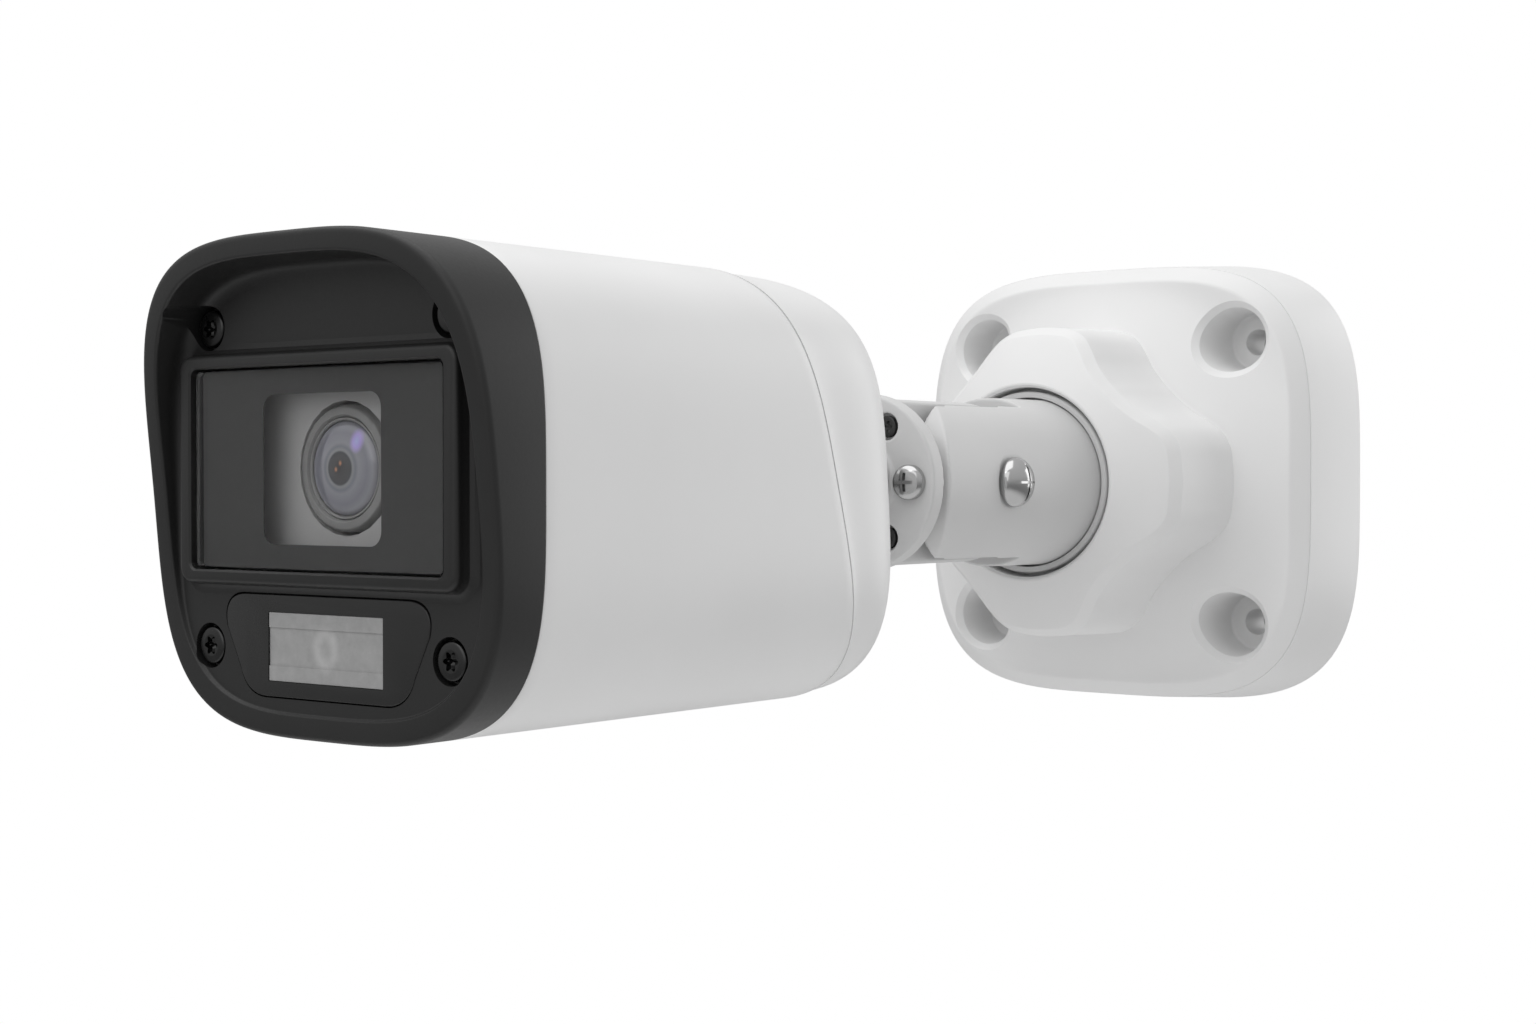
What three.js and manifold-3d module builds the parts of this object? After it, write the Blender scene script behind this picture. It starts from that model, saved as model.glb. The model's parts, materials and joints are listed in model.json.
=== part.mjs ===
// A bullet security camera on a three-axis wall bracket.
// Millimetres, +Z up. The origin is the centre of the base's flat wall face.
// The wall is on the +Y side and the camera looks along -Y.
// Bodies: the base is fixed, the arm pans about Y, the knuckle tilts about X and the camera rolls about Y.

import * as THREE from "three";
import { mergeVertices } from "three/addons/utils/BufferGeometryUtils.js";
import Module from "manifold-3d";

const wasm = await Module();
wasm.setup();

// ---- driving dimensions -------------------------------------------------------------------------

const GAP = 0.3; // clearance between touching pieces
const SMALL = 0.6; // overshoot of a cutter past the face that it cuts

// wall base
const BASE_POWER = 3.7; // superellipse power of the base's outline
const BASE_BACK = 33.5; // half width at the wall
const BASE_SEAM = 32.3; // half width at the seam between skirt and cover
const SEAM_Y = -15;
const CHAMFER = 2.2;
const DOME_RISE = 7.6; // how far the cover's face bulges towards the camera
const DOME_CURVE = 0.0083;
const DOME_EASE = 0.6;
const SHELL = 3; // thickness of the cover's face
const BACK_PLATE = 2.2;
const MOUNT_X = 21.1;
const MOUNT_Z = 20.8;
const MOUNT_HOLE = 1.9;
const MOUNT_MOUTH_R = 5.6;
const MOUNT_SINK = 4.8;
const MOUNT_SINK_FLOOR = -8.8;
const POST_REACH = 24;

// boss and pan joint
const BOSS_FRONT = -41;
const BOSS_EDGE = 1.1;
const BOSS_DRAFT = 0.5;
const BOSS_ROOT = -19.4; // inside the cover's thickness
const BOSS_REACH = 24;
const CROWN_FLAT = 14.2;
const CROWN_CURVE = 0.0144;
// one eighth of the boss outline, from the middle of a flat to the middle of a waist
const BOSS_EIGHTH = [
  [22.4, 0],
  [22.2, 2.9],
  [21.8, 5.1],
  [20.7, 7],
  [18.9, 8.5],
  [16.6, 10],
  [14.4, 11.8],
  [13.1, 13.1],
];
const SOCKET_R = 13.6;
const SOCKET_FLOOR = -37;
const STEM_R = 9.2;
const STEM_END = -30.6;
const RETAINER_R = 13;
const LOCK_Y = -33.2; // the screw that locks the pan joint

// arm and tilt joint
const ARM_REAR_R = 12;
const ARM_FRONT_R = 11.4;
const RING_R = 13;
const RING_FRONT = -40.2;
const TILT_Y = -62.5;
const EAR_CENTRE = -66.4;
const SLOT_HALF = 5.5;
const SLOT_FLOOR = -51.2;
const TONGUE_HALF = 4.4;
const TONGUE_R = 10.7;
const HINGE_R = 1.9;
const CABLE_R = 3.4;

// knuckle disc and roll joint
const DISC_REAR = -79.3;
const DISC_FRONT = -81.7;
const DISC_R = 11.4;
const HUB_R = 5.4;
const HUB_FRONT = -82.1;
const STUD_R = 3;
const COLLAR_R = 4.9;
const DISC_SCREW_REACH = 8.2;

// camera body
const BODY_POWER = 3.5;
const BODY_R = 24.6;
const BODY_Z = -0.6; // height of the body's centre line
const WALL = 2.2;
const HOOD_BACK = -166.5;
const CREASE_Y = -120.5;
const CREASE_SLANT = 0.3; // the crease leans towards the lens at the top
const REAR_LENGTH = 18;
const NECK_END = -86;
const NECK_R = 6.6;

// front
const FLOOR_Y = -171.6;
const SLAB = 2.8;
const RIM_LOW = -171.9;
const BROW = 5.7; // how much further the top of the rim reaches than the bottom
const GLASS_HALF = 17.7;
const GLASS_TOP = 11.1;
const GLASS_BOTTOM = -8.4;
const GLASS_FRONT = -173;
const GLASS_T = 1.4;
const FRAME_EDGE = 2.2;
const LENS_Z = 1.35;
const LENS_FRONT = -169.8;
const LENS_R = 6.1;
const LED_HALF = 8.2;
const LED_TOP = -12.8;
const LED_BOTTOM = -19.6;
const HOOD_SCREWS = [
  ["top_left", -17.2, 15.6],
  ["top_right", 17.2, 15.6],
  ["bottom_left", -17.2, -16.5],
  ["bottom_right", 17.2, -16.5],
];

// ---- materials ----------------------------------------------------------------------------------

const paint = (color, roughness, metalness = 0) =>
  new THREE.MeshStandardMaterial({ color, roughness, metalness });

const WHITE = paint(0xf1f2f2, 0.45);
const PALE = paint(0xd9dadb, 0.5);
const BLACK = paint(0x26272a, 0.55);
const GLASS = paint(0x3a3b3d, 0.08);
const SMOKED = paint(0x333436, 0.25);
const DIFFUSER = paint(0xb5b6b8, 0.4);
const RUBBER = paint(0x1b1b1c, 0.85);
const STEEL = paint(0xb8babd, 0.2, 1);
const DARK_STEEL = paint(0x2c2d30, 0.35, 1);
const BOARD = paint(0x1f5a36, 0.6);
const CHIP = paint(0x1a1a1c, 0.5);
const SHROUD = paint(0x7c7e80, 0.6);
const ALUMINIUM = paint(0xa9abae, 0.45, 1);
const LENS_GLASS = paint(0x2a2440, 0.05);
const NYLON = paint(0xe6e4dc, 0.5);

// ---- geometry helpers ---------------------------------------------------------------------------

// A closed three.js geometry as a solid, with its faces turned outwards.
function solid(geometry) {
  const plain = geometry.index ? geometry.toNonIndexed() : geometry.clone();
  plain.deleteAttribute("normal");
  plain.deleteAttribute("uv");
  const merged = mergeVertices(plain, 1e-4);
  const index = [];
  for (let i = 0; i < merged.index.count; i += 3) {
    const [a, b, c] = [0, 1, 2].map((k) => merged.index.getX(i + k));
    if (a !== b && b !== c && c !== a) index.push(a, b, c);
  }
  const build = (triangles) =>
    new wasm.Manifold(
      new wasm.Mesh({
        numProp: 3,
        vertProperties: merged.attributes.position.array,
        triVerts: new Uint32Array(triangles),
      }),
    );
  const made = build(index);
  return made.volume() > 0 ? made : build(index.reverse());
}

const join = (first, ...others) => others.reduce((sum, s) => sum.add(s), first);
const cut = (first, ...others) => others.reduce((rest, s) => rest.subtract(s), first);

function geometryOf(manifold) {
  const mesh = manifold.getMesh();
  const geometry = new THREE.BufferGeometry();
  geometry.setAttribute("position", new THREE.BufferAttribute(mesh.vertProperties, 3));
  geometry.setIndex(new THREE.BufferAttribute(mesh.triVerts, 1));
  geometry.computeVertexNormals();
  return geometry;
}

const moved = (geometry, x, y, z) => solid(geometry.translate(x, y, z));

// A solid of revolution about the Y axis. Each profile point is [radius, y].
function lathe(profile, segments = 32, x = 0, z = 0) {
  const points = profile.map(([r, y]) => new THREE.Vector2(Math.max(r, 0), y));
  return new THREE.LatheGeometry(points, segments).translate(x, 0, z);
}

const closed = (profile) => [...profile, profile[0]];

// The same, with round sections turned into superellipses and each point then passed to bend.
function squircle(profile, power, { segments = 36, z = 0, bend = (p) => p } = {}) {
  const geometry = lathe(profile, segments);
  const place = geometry.attributes.position;
  const p = new THREE.Vector3();
  for (let i = 0; i < place.count; i += 1) {
    p.fromBufferAttribute(place, i);
    const r = Math.hypot(p.x, p.z);
    const size = (Math.abs(p.x) ** power + Math.abs(p.z) ** power) ** (1 / power);
    if (r > 1e-6) p.set((p.x * r) / size, p.y, (p.z * r) / size);
    bend(p);
    place.setXYZ(i, p.x, p.y, p.z + z);
  }
  return solid(geometry);
}

// A closed solid through loops of as many points each, with a flat cap on the first and the last.
function loft(loops) {
  const count = loops[0].length;
  const at = (i, j) => loops[i][j % count];
  const middle = (loop) => [0, 1, 2].map((k) => loop.reduce((sum, p) => sum + p[k], 0) / count);
  const triangles = [];
  for (let j = 0; j < count; j += 1) {
    for (let i = 0; i < loops.length - 1; i += 1) {
      triangles.push(at(i, j), at(i, j + 1), at(i + 1, j));
      triangles.push(at(i, j + 1), at(i + 1, j + 1), at(i + 1, j));
    }
    const end = loops.length - 1;
    triangles.push(middle(loops[0]), at(0, j + 1), at(0, j));
    triangles.push(middle(loops[end]), at(end, j), at(end, j + 1));
  }
  const place = new THREE.Float32BufferAttribute(triangles.flat(), 3);
  return solid(new THREE.BufferGeometry().setAttribute("position", place));
}

// A rod along Y between two y values.
function rodY(radius, y0, y1, x = 0, z = 0, segments = 20) {
  const [near, far] = y0 < y1 ? [y0, y1] : [y1, y0];
  const geometry = new THREE.CylinderGeometry(radius, radius, far - near, segments);
  return moved(geometry, x, (near + far) / 2, z);
}

// A rod along X between two x values.
function rodX(radius, x0, x1, y, z = 0, segments = 24) {
  const geometry = new THREE.CylinderGeometry(radius, radius, Math.abs(x1 - x0), segments);
  return moved(geometry.rotateZ(Math.PI / 2), (x0 + x1) / 2, y, z);
}

// A rod along Z between two z values, at the given y.
function rodZ(radius, z0, z1, y, segments = 20) {
  const geometry = new THREE.CylinderGeometry(radius, radius, Math.abs(z1 - z0), segments);
  return moved(geometry.rotateX(Math.PI / 2), 0, y, (z0 + z1) / 2);
}

function box(x0, x1, y0, y1, z0, z1) {
  const geometry = new THREE.BoxGeometry(x1 - x0, Math.abs(y1 - y0), z1 - z0);
  return moved(geometry, (x0 + x1) / 2, (y0 + y1) / 2, (z0 + z1) / 2);
}

// A shape drawn in X and Z, extruded from the rear y to the front y, with an optional front chamfer.
function plate(shape, rear, front, chamfer = 0) {
  const depth = rear - front - chamfer;
  const geometry = new THREE.ExtrudeGeometry(shape, {
    depth,
    curveSegments: 3,
    bevelEnabled: chamfer > 0,
    bevelThickness: chamfer,
    bevelSize: chamfer,
    bevelOffset: -chamfer,
    bevelSegments: 1,
  });
  const made = moved(geometry.rotateX(Math.PI / 2), 0, rear, 0);
  if (!chamfer) return made;
  const keep = box(-60, 60, rear, front - SMALL, -60, 60);
  return made.intersect(keep);
}

function roundedRect(x0, x1, z0, z1, r) {
  const shape = new THREE.Shape();
  shape.moveTo(x0 + r, z0);
  shape.lineTo(x1 - r, z0);
  shape.absarc(x1 - r, z0 + r, r, -Math.PI / 2, 0);
  shape.lineTo(x1, z1 - r);
  shape.absarc(x1 - r, z1 - r, r, 0, Math.PI / 2);
  shape.lineTo(x0 + r, z1);
  shape.absarc(x0 + r, z1 - r, r, Math.PI / 2, Math.PI);
  shape.lineTo(x0, z0 + r);
  shape.absarc(x0 + r, z0 + r, r, Math.PI, Math.PI * 1.5);
  return shape;
}

const group = new THREE.Group();

function addPiece(name, manifold, material) {
  const mesh = new THREE.Mesh(geometryOf(manifold), material);
  mesh.name = name;
  group.add(mesh);
}

// ---- fasteners ----------------------------------------------------------------------------------

// A screw along Y whose head faces -Y, with a six-lobe drive made by a six-sided socket.
function screwY({ x, z, headY, headR, headH, shankR, tipY, socketR, dome = 0 }) {
  const crown = dome > 0 ? [[headR * 0.7, headY - dome * 0.75]] : [];
  const profile = [
    [0, headY - dome],
    ...crown,
    [headR, headY],
    [headR, headY + headH],
    [shankR, headY + headH],
    [shankR, tipY - shankR],
    [0, tipY],
  ];
  const body = solid(lathe(profile, 12, x, z));
  return cut(body, rodY(socketR, headY - dome - SMALL, headY + headH * 0.55, x, z, 6));
}

// ---- wall base ----------------------------------------------------------------------------------

// How far the dome under the boss stands above the cover's flat corners, r from the pan axis.
const domeRise = (r) =>
  DOME_EASE * Math.log(1 + Math.exp((DOME_RISE - DOME_CURVE * r * r) / DOME_EASE));

const domeY = (r) => SEAM_Y - CHAMFER - domeRise(r);

// The boss's front falls away from the socket's edge.
const crownY = (r) => BOSS_FRONT + CROWN_CURVE * Math.max(0, r * r - CROWN_FLAT * CROWN_FLAT);

// The boss outline: four bowed flats joined by waists that curve inwards.
function bossOutline() {
  const mirrored = BOSS_EIGHTH.slice(1, -1).map(([x, z]) => [z, x]).reverse();
  const quarter = [...BOSS_EIGHTH, ...mirrored];
  return [0, 1, 2, 3].flatMap((side) => {
    const turn = (side * Math.PI) / 2;
    const [c, s] = [Math.cos(turn), Math.sin(turn)];
    return quarter.map(([x, z]) => [x * c - z * s, x * s + z * c]);
  });
}

// The outline grown by some millimetres along its radius, at the height that y gives for its radius.
function bossLoop(grown, y) {
  return bossOutline().map(([x, z]) => {
    const r = Math.hypot(x, z);
    const k = (r + grown) / r;
    return [x * k, y(r + grown), z * k];
  });
}

function boss() {
  const socketEdge = bossOutline().map(([x, z]) => {
    const k = CROWN_FLAT / Math.hypot(x, z);
    return [x * k, BOSS_FRONT, z * k];
  });
  return loft([
    bossLoop(BOSS_DRAFT, () => BOSS_ROOT),
    bossLoop(0, (r) => crownY(r) + BOSS_EDGE),
    bossLoop(-BOSS_EDGE, crownY),
    socketEdge,
  ]);
}

const corners = [-1, 1].flatMap((sx) => [-1, 1].map((sz) => [sx * MOUNT_X, sz * MOUNT_Z]));
const posts = [
  ["right", POST_REACH, 0],
  ["left", -POST_REACH, 0],
  ["top", 0, POST_REACH],
  ["bottom", 0, -POST_REACH],
];
const spigot = BASE_SEAM - 2.1;

const FACE_LEVEL = SEAM_Y - CHAMFER;
const faceSteps = [0, 0.3, 0.5, 0.65, 0.8, 0.9, 1];

// A superellipse solid. Its points at these depths follow the dome instead of lying flat.
function domed(profile, depths) {
  const bend = (p) => {
    if (depths.some((d) => Math.abs(p.y - FACE_LEVEL - d) < 0.01)) p.y -= domeRise(Math.hypot(p.x, p.z));
  };
  return squircle(profile, BASE_POWER, { bend });
}

function coverShell() {
  const face = faceSteps.map((f) => [f * (BASE_SEAM - CHAMFER), FACE_LEVEL]);
  const inner = faceSteps.slice(0, 5).map((f) => [f * spigot, FACE_LEVEL + SHELL]);
  const rim = [
    [BASE_SEAM, SEAM_Y - GAP / 2],
    [spigot, SEAM_Y - GAP / 2],
    [spigot, SEAM_Y + 3],
    [spigot - 1.8, SEAM_Y + 3],
  ];
  return domed([...face, ...rim, ...inner.reverse()], [0, SHELL]);
}

// Cutter of a counterbore's chamfered mouth, which follows the dome.
function sinkMouth(x, z) {
  const ring = (r, depth) =>
    Array.from({ length: 16 }, (_, i) => {
      const a = (i * Math.PI) / 8;
      const [dx, dz] = [Math.cos(a), Math.sin(a)];
      const y = domeY(Math.hypot(x + MOUNT_MOUTH_R * dx, z + MOUNT_MOUTH_R * dz));
      return [x + r * dx, y + depth, z + r * dz];
    });
  const bevel = MOUNT_MOUTH_R - MOUNT_SINK;
  return loft([ring(MOUNT_SINK - 0.1, bevel + 0.1), ring(MOUNT_MOUTH_R + 2, -2)]);
}

function baseCover() {
  const rear = -BACK_PLATE - GAP;
  const front = faceSteps.map((f) => [f * spigot, FACE_LEVEL + 0.5]);
  const inside = domed([...front, [spigot, rear], [0, rear]], [0.5]);
  const sleeves = corners.map(([x, z]) => rodY(6.6, -22, rear, x, z, 12).intersect(inside));
  const studTop = domeY(POST_REACH) + 1.5;
  const studs = posts.map(([, x, z]) => rodY(2.5, studTop, rear, x, z, 12));
  const sinks = corners.flatMap(([x, z]) => [
    rodY(MOUNT_SINK, -40, MOUNT_SINK_FLOOR, x, z, 16),
    sinkMouth(x, z),
    rodY(MOUNT_SINK - 0.6, -20, MOUNT_SINK_FLOOR + 1, x, z, 16),
    rodY(MOUNT_HOLE, -20, 0, x, z, 12),
  ]);
  const pilots = posts.map(([, x, z]) => rodY(0.8, -14, 0, x, z, 8));
  return cut(
    join(coverShell(), boss(), ...sleeves, ...studs),
    rodY(SOCKET_R, BOSS_FRONT - SMALL, SOCKET_FLOOR, 0, 0, 40),
    rodY(STEM_R + 1.6, SOCKET_FLOOR - SMALL, -20, 0, 0, 28),
    rodY(RETAINER_R + 1.5, STEM_END - 0.9, -10, 0, 0, 28),
    rodZ(1.9, -BOSS_REACH, -STEM_R, LOCK_Y, 12),
    ...sinks,
    ...pilots,
  );
}

function baseSkirt() {
  const inside = spigot + GAP;
  return squircle(
    closed([
      [BASE_BACK, 0],
      [BASE_SEAM, SEAM_Y + GAP / 2],
      [inside, SEAM_Y + GAP / 2],
      [inside + 0.4, 0],
    ]),
    BASE_POWER,
  );
}

const GROMMET_Z = -12.5;

function backPlate() {
  const r = spigot;
  const sheet = squircle([[0, -BACK_PLATE], [r, -BACK_PLATE], [r, 0], [0, 0]], BASE_POWER);
  return cut(
    sheet,
    ...corners.map(([x, z]) => rodY(MOUNT_HOLE, -5, 1, x, z, 12)),
    ...posts.map(([, x, z]) => rodY(1.3, -5, 1, x, z, 8)),
    ...posts.map(([, x, z]) => rodY(2.6, -1.3, 1, x, z, 12)),
    rodY(5.2, -5, 1, 0, GROMMET_Z),
  );
}

function cableGrommet() {
  const lip = BACK_PLATE + GAP;
  const profile = [
    [3.1, -0.1],
    [4.9, -0.1],
    [4.9, -lip],
    [6.6, -lip],
    [6.6, -lip - 1.2],
    [4.4, -lip - 3],
    [3.1, -lip - 3],
  ];
  return solid(lathe(closed(profile), 20, 0, GROMMET_Z));
}

function backPlateScrew(x, z) {
  const profile = [[0, -0.2], [2.2, -0.2], [2.2, -1], [0.65, -1], [0.65, -9.2], [0, -9.8]];
  return cut(solid(lathe(profile, 12, x, z)), rodY(0.9, -0.7, 1, x, z, 6));
}

// ---- pan joint ----------------------------------------------------------------------------------

function panBush() {
  const profile = [
    [STEM_R + GAP, SOCKET_FLOOR + GAP],
    [STEM_R + 1.3, SOCKET_FLOOR + GAP],
    [STEM_R + 1.3, STEM_END - 1.2],
    [STEM_R + GAP, STEM_END - 1.2],
  ];
  return solid(lathe(closed(profile), 24));
}

function panRing() {
  const profile = [
    [ARM_REAR_R + GAP, RING_FRONT],
    [RING_R - 0.35, RING_FRONT],
    [RING_R, RING_FRONT + 0.35],
    [RING_R, SOCKET_FLOOR - GAP],
    [ARM_REAR_R + GAP, SOCKET_FLOOR - GAP],
  ];
  return solid(lathe(closed(profile), 32));
}

function panRetainer() {
  const front = STEM_END + GAP;
  const profile = [[4, front], [RETAINER_R, front], [RETAINER_R, front + 2], [4, front + 2]];
  const disc = solid(lathe(closed(profile), 28));
  return cut(disc, ...retainerPlaces().map(([x, z]) => rodY(1.35, -40, -20, x, z, 12)));
}

function retainerPlaces() {
  return [0, 1, 2].map((i) => {
    const a = (i * 2 * Math.PI) / 3 + Math.PI / 2;
    return [6.6 * Math.cos(a), 6.6 * Math.sin(a)];
  });
}

function retainerScrew(x, z) {
  const seat = STEM_END + 2 + 2 * GAP;
  const profile = [
    [0, seat + 1.3],
    [2, seat + 1.3],
    [2, seat],
    [1.05, seat],
    [1.05, seat - 7],
    [0, seat - 8],
  ];
  return cut(solid(lathe(profile, 10, x, z)), rodY(0.8, seat + 0.6, seat + 2, x, z, 6));
}

function panLockScrew() {
  const head = 1.5 - BOSS_EIGHTH[0][0];
  const rod = rodZ(1.6, head, -STEM_R - 2.2, LOCK_Y, 12);
  const socket = rodZ(0.8, head - SMALL, head + 2, LOCK_Y, 6);
  return cut(rod, socket);
}

// ---- arm ----------------------------------------------------------------------------------------

// An outline in Y and Z, extruded along X.
function slabX(shape, x0, x1) {
  const geometry = new THREE.ExtrudeGeometry(shape, {
    depth: x1 - x0,
    bevelEnabled: false,
    curveSegments: 12,
  });
  // the shape's x becomes y, its y becomes z and its depth becomes x
  geometry.applyMatrix4(
    new THREE.Matrix4().set(0, 0, 1, 0, 1, 0, 0, 0, 0, 1, 0, 0, 0, 0, 0, 1),
  );
  return moved(geometry, x0, 0, 0);
}

function roundEnded(centre, radius, end) {
  const shape = new THREE.Shape();
  const sign = Math.sign(end - centre);
  shape.moveTo(end, -radius * sign);
  shape.lineTo(end, radius * sign);
  shape.lineTo(centre, radius * sign);
  const from = (sign * Math.PI) / 2;
  shape.absarc(centre, 0, radius, from, from + Math.PI, false);
  return shape;
}

const HEAD_SEAT = ARM_FRONT_R - 0.3;

function arm() {
  const tube = solid(
    lathe(
      [
        [0, EAR_CENTRE - 12],
        [ARM_FRONT_R, EAR_CENTRE - 12],
        [ARM_REAR_R, SOCKET_FLOOR - GAP],
        [STEM_R, SOCKET_FLOOR - GAP],
        [STEM_R, STEM_END],
        [0, STEM_END],
      ],
      32,
    ),
  );
  const ends = slabX(roundEnded(EAR_CENTRE, ARM_FRONT_R + 0.3, 0), -20, 20);
  return cut(
    tube.intersect(ends),
    box(-SLOT_HALF, SLOT_HALF, -90, SLOT_FLOOR, -20, 20),
    rodX(HINGE_R + GAP, -20, 20, TILT_Y, 0, 14),
    rodX(3.8, HEAD_SEAT, 20, TILT_Y, 0, 20),
    rodX(4.1, -20, -8, TILT_Y, 0, 6),
    rodY(CABLE_R, -60, 0, 0, 0, 14),
    ...retainerPlaces().map(([x, z]) => rodY(1.35, SOCKET_FLOOR - 1.5, 0, x, z, 8)),
  );
}

function tiltScrew() {
  const headR = 3.3;
  const rise = 2.3;
  const base = HEAD_SEAT + GAP;
  const crown = [0, 1, 2, 3, 4, 5].map((i) => {
    const a = (i * Math.PI) / 10;
    return [headR * Math.sin(a), base + 0.3 + rise * Math.cos(a)];
  });
  const profile = [...crown, [headR, base], [HINGE_R, base], [HINGE_R, -10.4], [0, -10.9]];
  const geometry = lathe(profile, 16).rotateZ(-Math.PI / 2).translate(0, TILT_Y, 0);
  const top = base + rise + 0.3;
  return cut(
    solid(geometry),
    box(top - 1, top + 1, TILT_Y - 1.9, TILT_Y + 1.9, -0.35, 0.35),
    box(top - 1, top + 1, TILT_Y - 0.35, TILT_Y + 0.35, -1.9, 1.9),
  );
}

function tiltNut() {
  const nut = rodX(3.7, -10.8, -8.3, TILT_Y, 0, 6);
  return cut(nut, rodX(HINGE_R + GAP, -20, 0, TILT_Y, 0, 14));
}

function tiltWasher(side) {
  const inner = side * (TONGUE_HALF + GAP);
  const outer = side * (SLOT_HALF - GAP);
  const washer = rodX(7, inner, outer, TILT_Y, 0, 20);
  return cut(washer, rodX(HINGE_R + GAP, -20, 20, TILT_Y, 0, 14));
}

// ---- knuckle ------------------------------------------------------------------------------------

// The dome screws sit left and right of the hub, the recessed screws at 60 degrees above and below.
const domeScrews = [
  ["right", DISC_SCREW_REACH - 0.3, 0],
  ["left", -DISC_SCREW_REACH + 0.3, 0],
];
const recessedScrews = [
  ["upper_right", 60],
  ["upper_left", 120],
  ["lower_left", 240],
  ["lower_right", 300],
].map(([name, degrees]) => {
  const a = THREE.MathUtils.degToRad(degrees);
  return [name, DISC_SCREW_REACH * Math.cos(a), DISC_SCREW_REACH * Math.sin(a)];
});

function knuckle() {
  const disc = solid(
    lathe(
      [
        [0, HUB_FRONT],
        [HUB_R - 0.3, HUB_FRONT],
        [HUB_R, HUB_FRONT + 0.3],
        [HUB_R, DISC_FRONT],
        [DISC_R - 0.4, DISC_FRONT],
        [DISC_R, DISC_FRONT + 0.4],
        [DISC_R, DISC_REAR],
        [0, DISC_REAR],
      ],
      32,
    ),
  );
  const outline = slabX(roundEnded(TILT_Y, TONGUE_R, DISC_REAR - 1), -TONGUE_HALF, TONGUE_HALF);
  const tongue = outline.intersect(rodY(ARM_FRONT_R - 0.2, -90, -40, 0, 0, 32));
  const pocket = plate(roundedRect(-2.4, 2.4, -4.6, 4.6, 2.3), 3, 0);
  const pockets = [-1, 1].map((sign) =>
    pocket.rotate([90, 0, 0]).translate([0, -72.4, sign > 0 ? TONGUE_R - 2.2 : -TONGUE_R - 0.8]),
  );
  return cut(
    join(disc, tongue),
    rodX(HINGE_R + GAP, -20, 20, TILT_Y, 0, 14),
    rodY(STUD_R + GAP, -90, -75, 0, 0, 16),
    ...domeScrews.map(([, x, z]) => rodY(1.2, -90, -79, x, z, 8)),
    ...recessedScrews.map(([, x, z]) => rodY(1.75, -90, -80.7, x, z, 10)),
    ...recessedScrews.map(([, x, z]) => rodY(1, -90, -79, x, z, 8)),
    ...pockets,
  );
}

function swivelStud() {
  const profile = [
    [0, -75.4],
    [STUD_R, -75.4],
    [STUD_R, HUB_FRONT - GAP],
    [COLLAR_R - 0.8, HUB_FRONT - GAP],
    [COLLAR_R, HUB_FRONT - 1],
    [COLLAR_R, NECK_END + 1.1],
    [COLLAR_R - 0.8, NECK_END + GAP],
    [STUD_R, NECK_END + GAP],
    [STUD_R, -110],
    [STUD_R - 0.6, -110.6],
    [0, -110.6],
  ];
  return cut(solid(lathe(profile, 20)), rodY(1.6, -120, -70, 0, 0, 10));
}

function swivelNut() {
  return cut(rodY(5.4, -108.7, -105.5, 0, 0, 6), rodY(STUD_R + GAP, -120, -90, 0, 0, 16));
}

// ---- camera body --------------------------------------------------------------------------------

// Leans the points behind the middle of the housing so that its rear edge is slanted.
function leanHousing(p) {
  const t = THREE.MathUtils.smoothstep(p.y, HOOD_BACK + 15, CREASE_Y - 1);
  p.y -= CREASE_SLANT * t * p.z;
  return p;
}

function leanRear(p) {
  const t = THREE.MathUtils.clamp(1 - (p.y - CREASE_Y) / REAR_LENGTH, 0, 1);
  p.y -= CREASE_SLANT * t * p.z;
  return p;
}

const camera = (bend, segments = 36) => ({ segments, z: BODY_Z, bend });

function housing() {
  const front = HOOD_BACK + GAP;
  const tube = squircle(
    closed([
      [BODY_R, front],
      [BODY_R, CREASE_Y - GAP / 2],
      [BODY_R - WALL, CREASE_Y - GAP / 2],
      [BODY_R - WALL, front],
    ]),
    BODY_POWER,
    camera(leanHousing),
  );
  const inside = BODY_R - 0.5;
  const fill = [[0, -170], [inside, -170], [inside, -140], [0, -140]];
  const shell = squircle(fill, BODY_POWER, camera((p) => p));
  const bosses = HOOD_SCREWS.map(([, x, z]) => rodY(3, -162.4, -150, x, z, 10).intersect(shell));
  const pilots = HOOD_SCREWS.map(([, x, z]) => rodY(1.45, -163, -152, x, z, 8));
  return cut(join(tube, ...bosses), ...pilots);
}

function rearProfile(radius, start, length, steps) {
  const power = 3.6;
  return steps.map((u) => {
    const y = start + u * length;
    return [radius * (1 - u ** power) ** (1 / power), y];
  });
}

function rearCover() {
  const start = CREASE_Y + GAP / 2;
  const steps = [0, 0.4, 0.65, 0.82, 0.93, 0.985, 1];
  const lip = BODY_R - WALL - GAP;
  const hollow = rearProfile(lip - 1.6, start, REAR_LENGTH - 2.4, [1, 0.96, 0.8, 0.5, 0]);
  const shell = squircle(
    [
      ...rearProfile(BODY_R, start, REAR_LENGTH, steps).reverse(),
      [lip, start],
      [lip, start - 3],
      [lip - 1.6, start - 3],
      ...hollow.slice(0, -1).reverse(),
    ],
    BODY_POWER,
    camera(leanRear),
  );
  const root = CREASE_Y + REAR_LENGTH;
  const neck = solid(
    lathe(
      [
        [0, root - 2],
        [13, root - 1.6],
        [11, root - 0.2],
        [8.8, root + 2.6],
        [7.5, root + 7],
        [NECK_R + 0.2, NECK_END - 0.8],
        [NECK_R - 0.5, NECK_END],
        [0, NECK_END],
      ],
      24,
    ),
  );
  return cut(join(shell, neck), rodY(STUD_R + GAP, -115, -80, 0, 0, 16));
}

function sealRing(outer, width, y, thickness, bend) {
  return squircle(
    closed([
      [outer, y],
      [outer, y + thickness],
      [outer - width, y + thickness],
      [outer - width, y],
    ]),
    BODY_POWER,
    camera(bend, 32),
  );
}

// ---- front --------------------------------------------------------------------------------------

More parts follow.
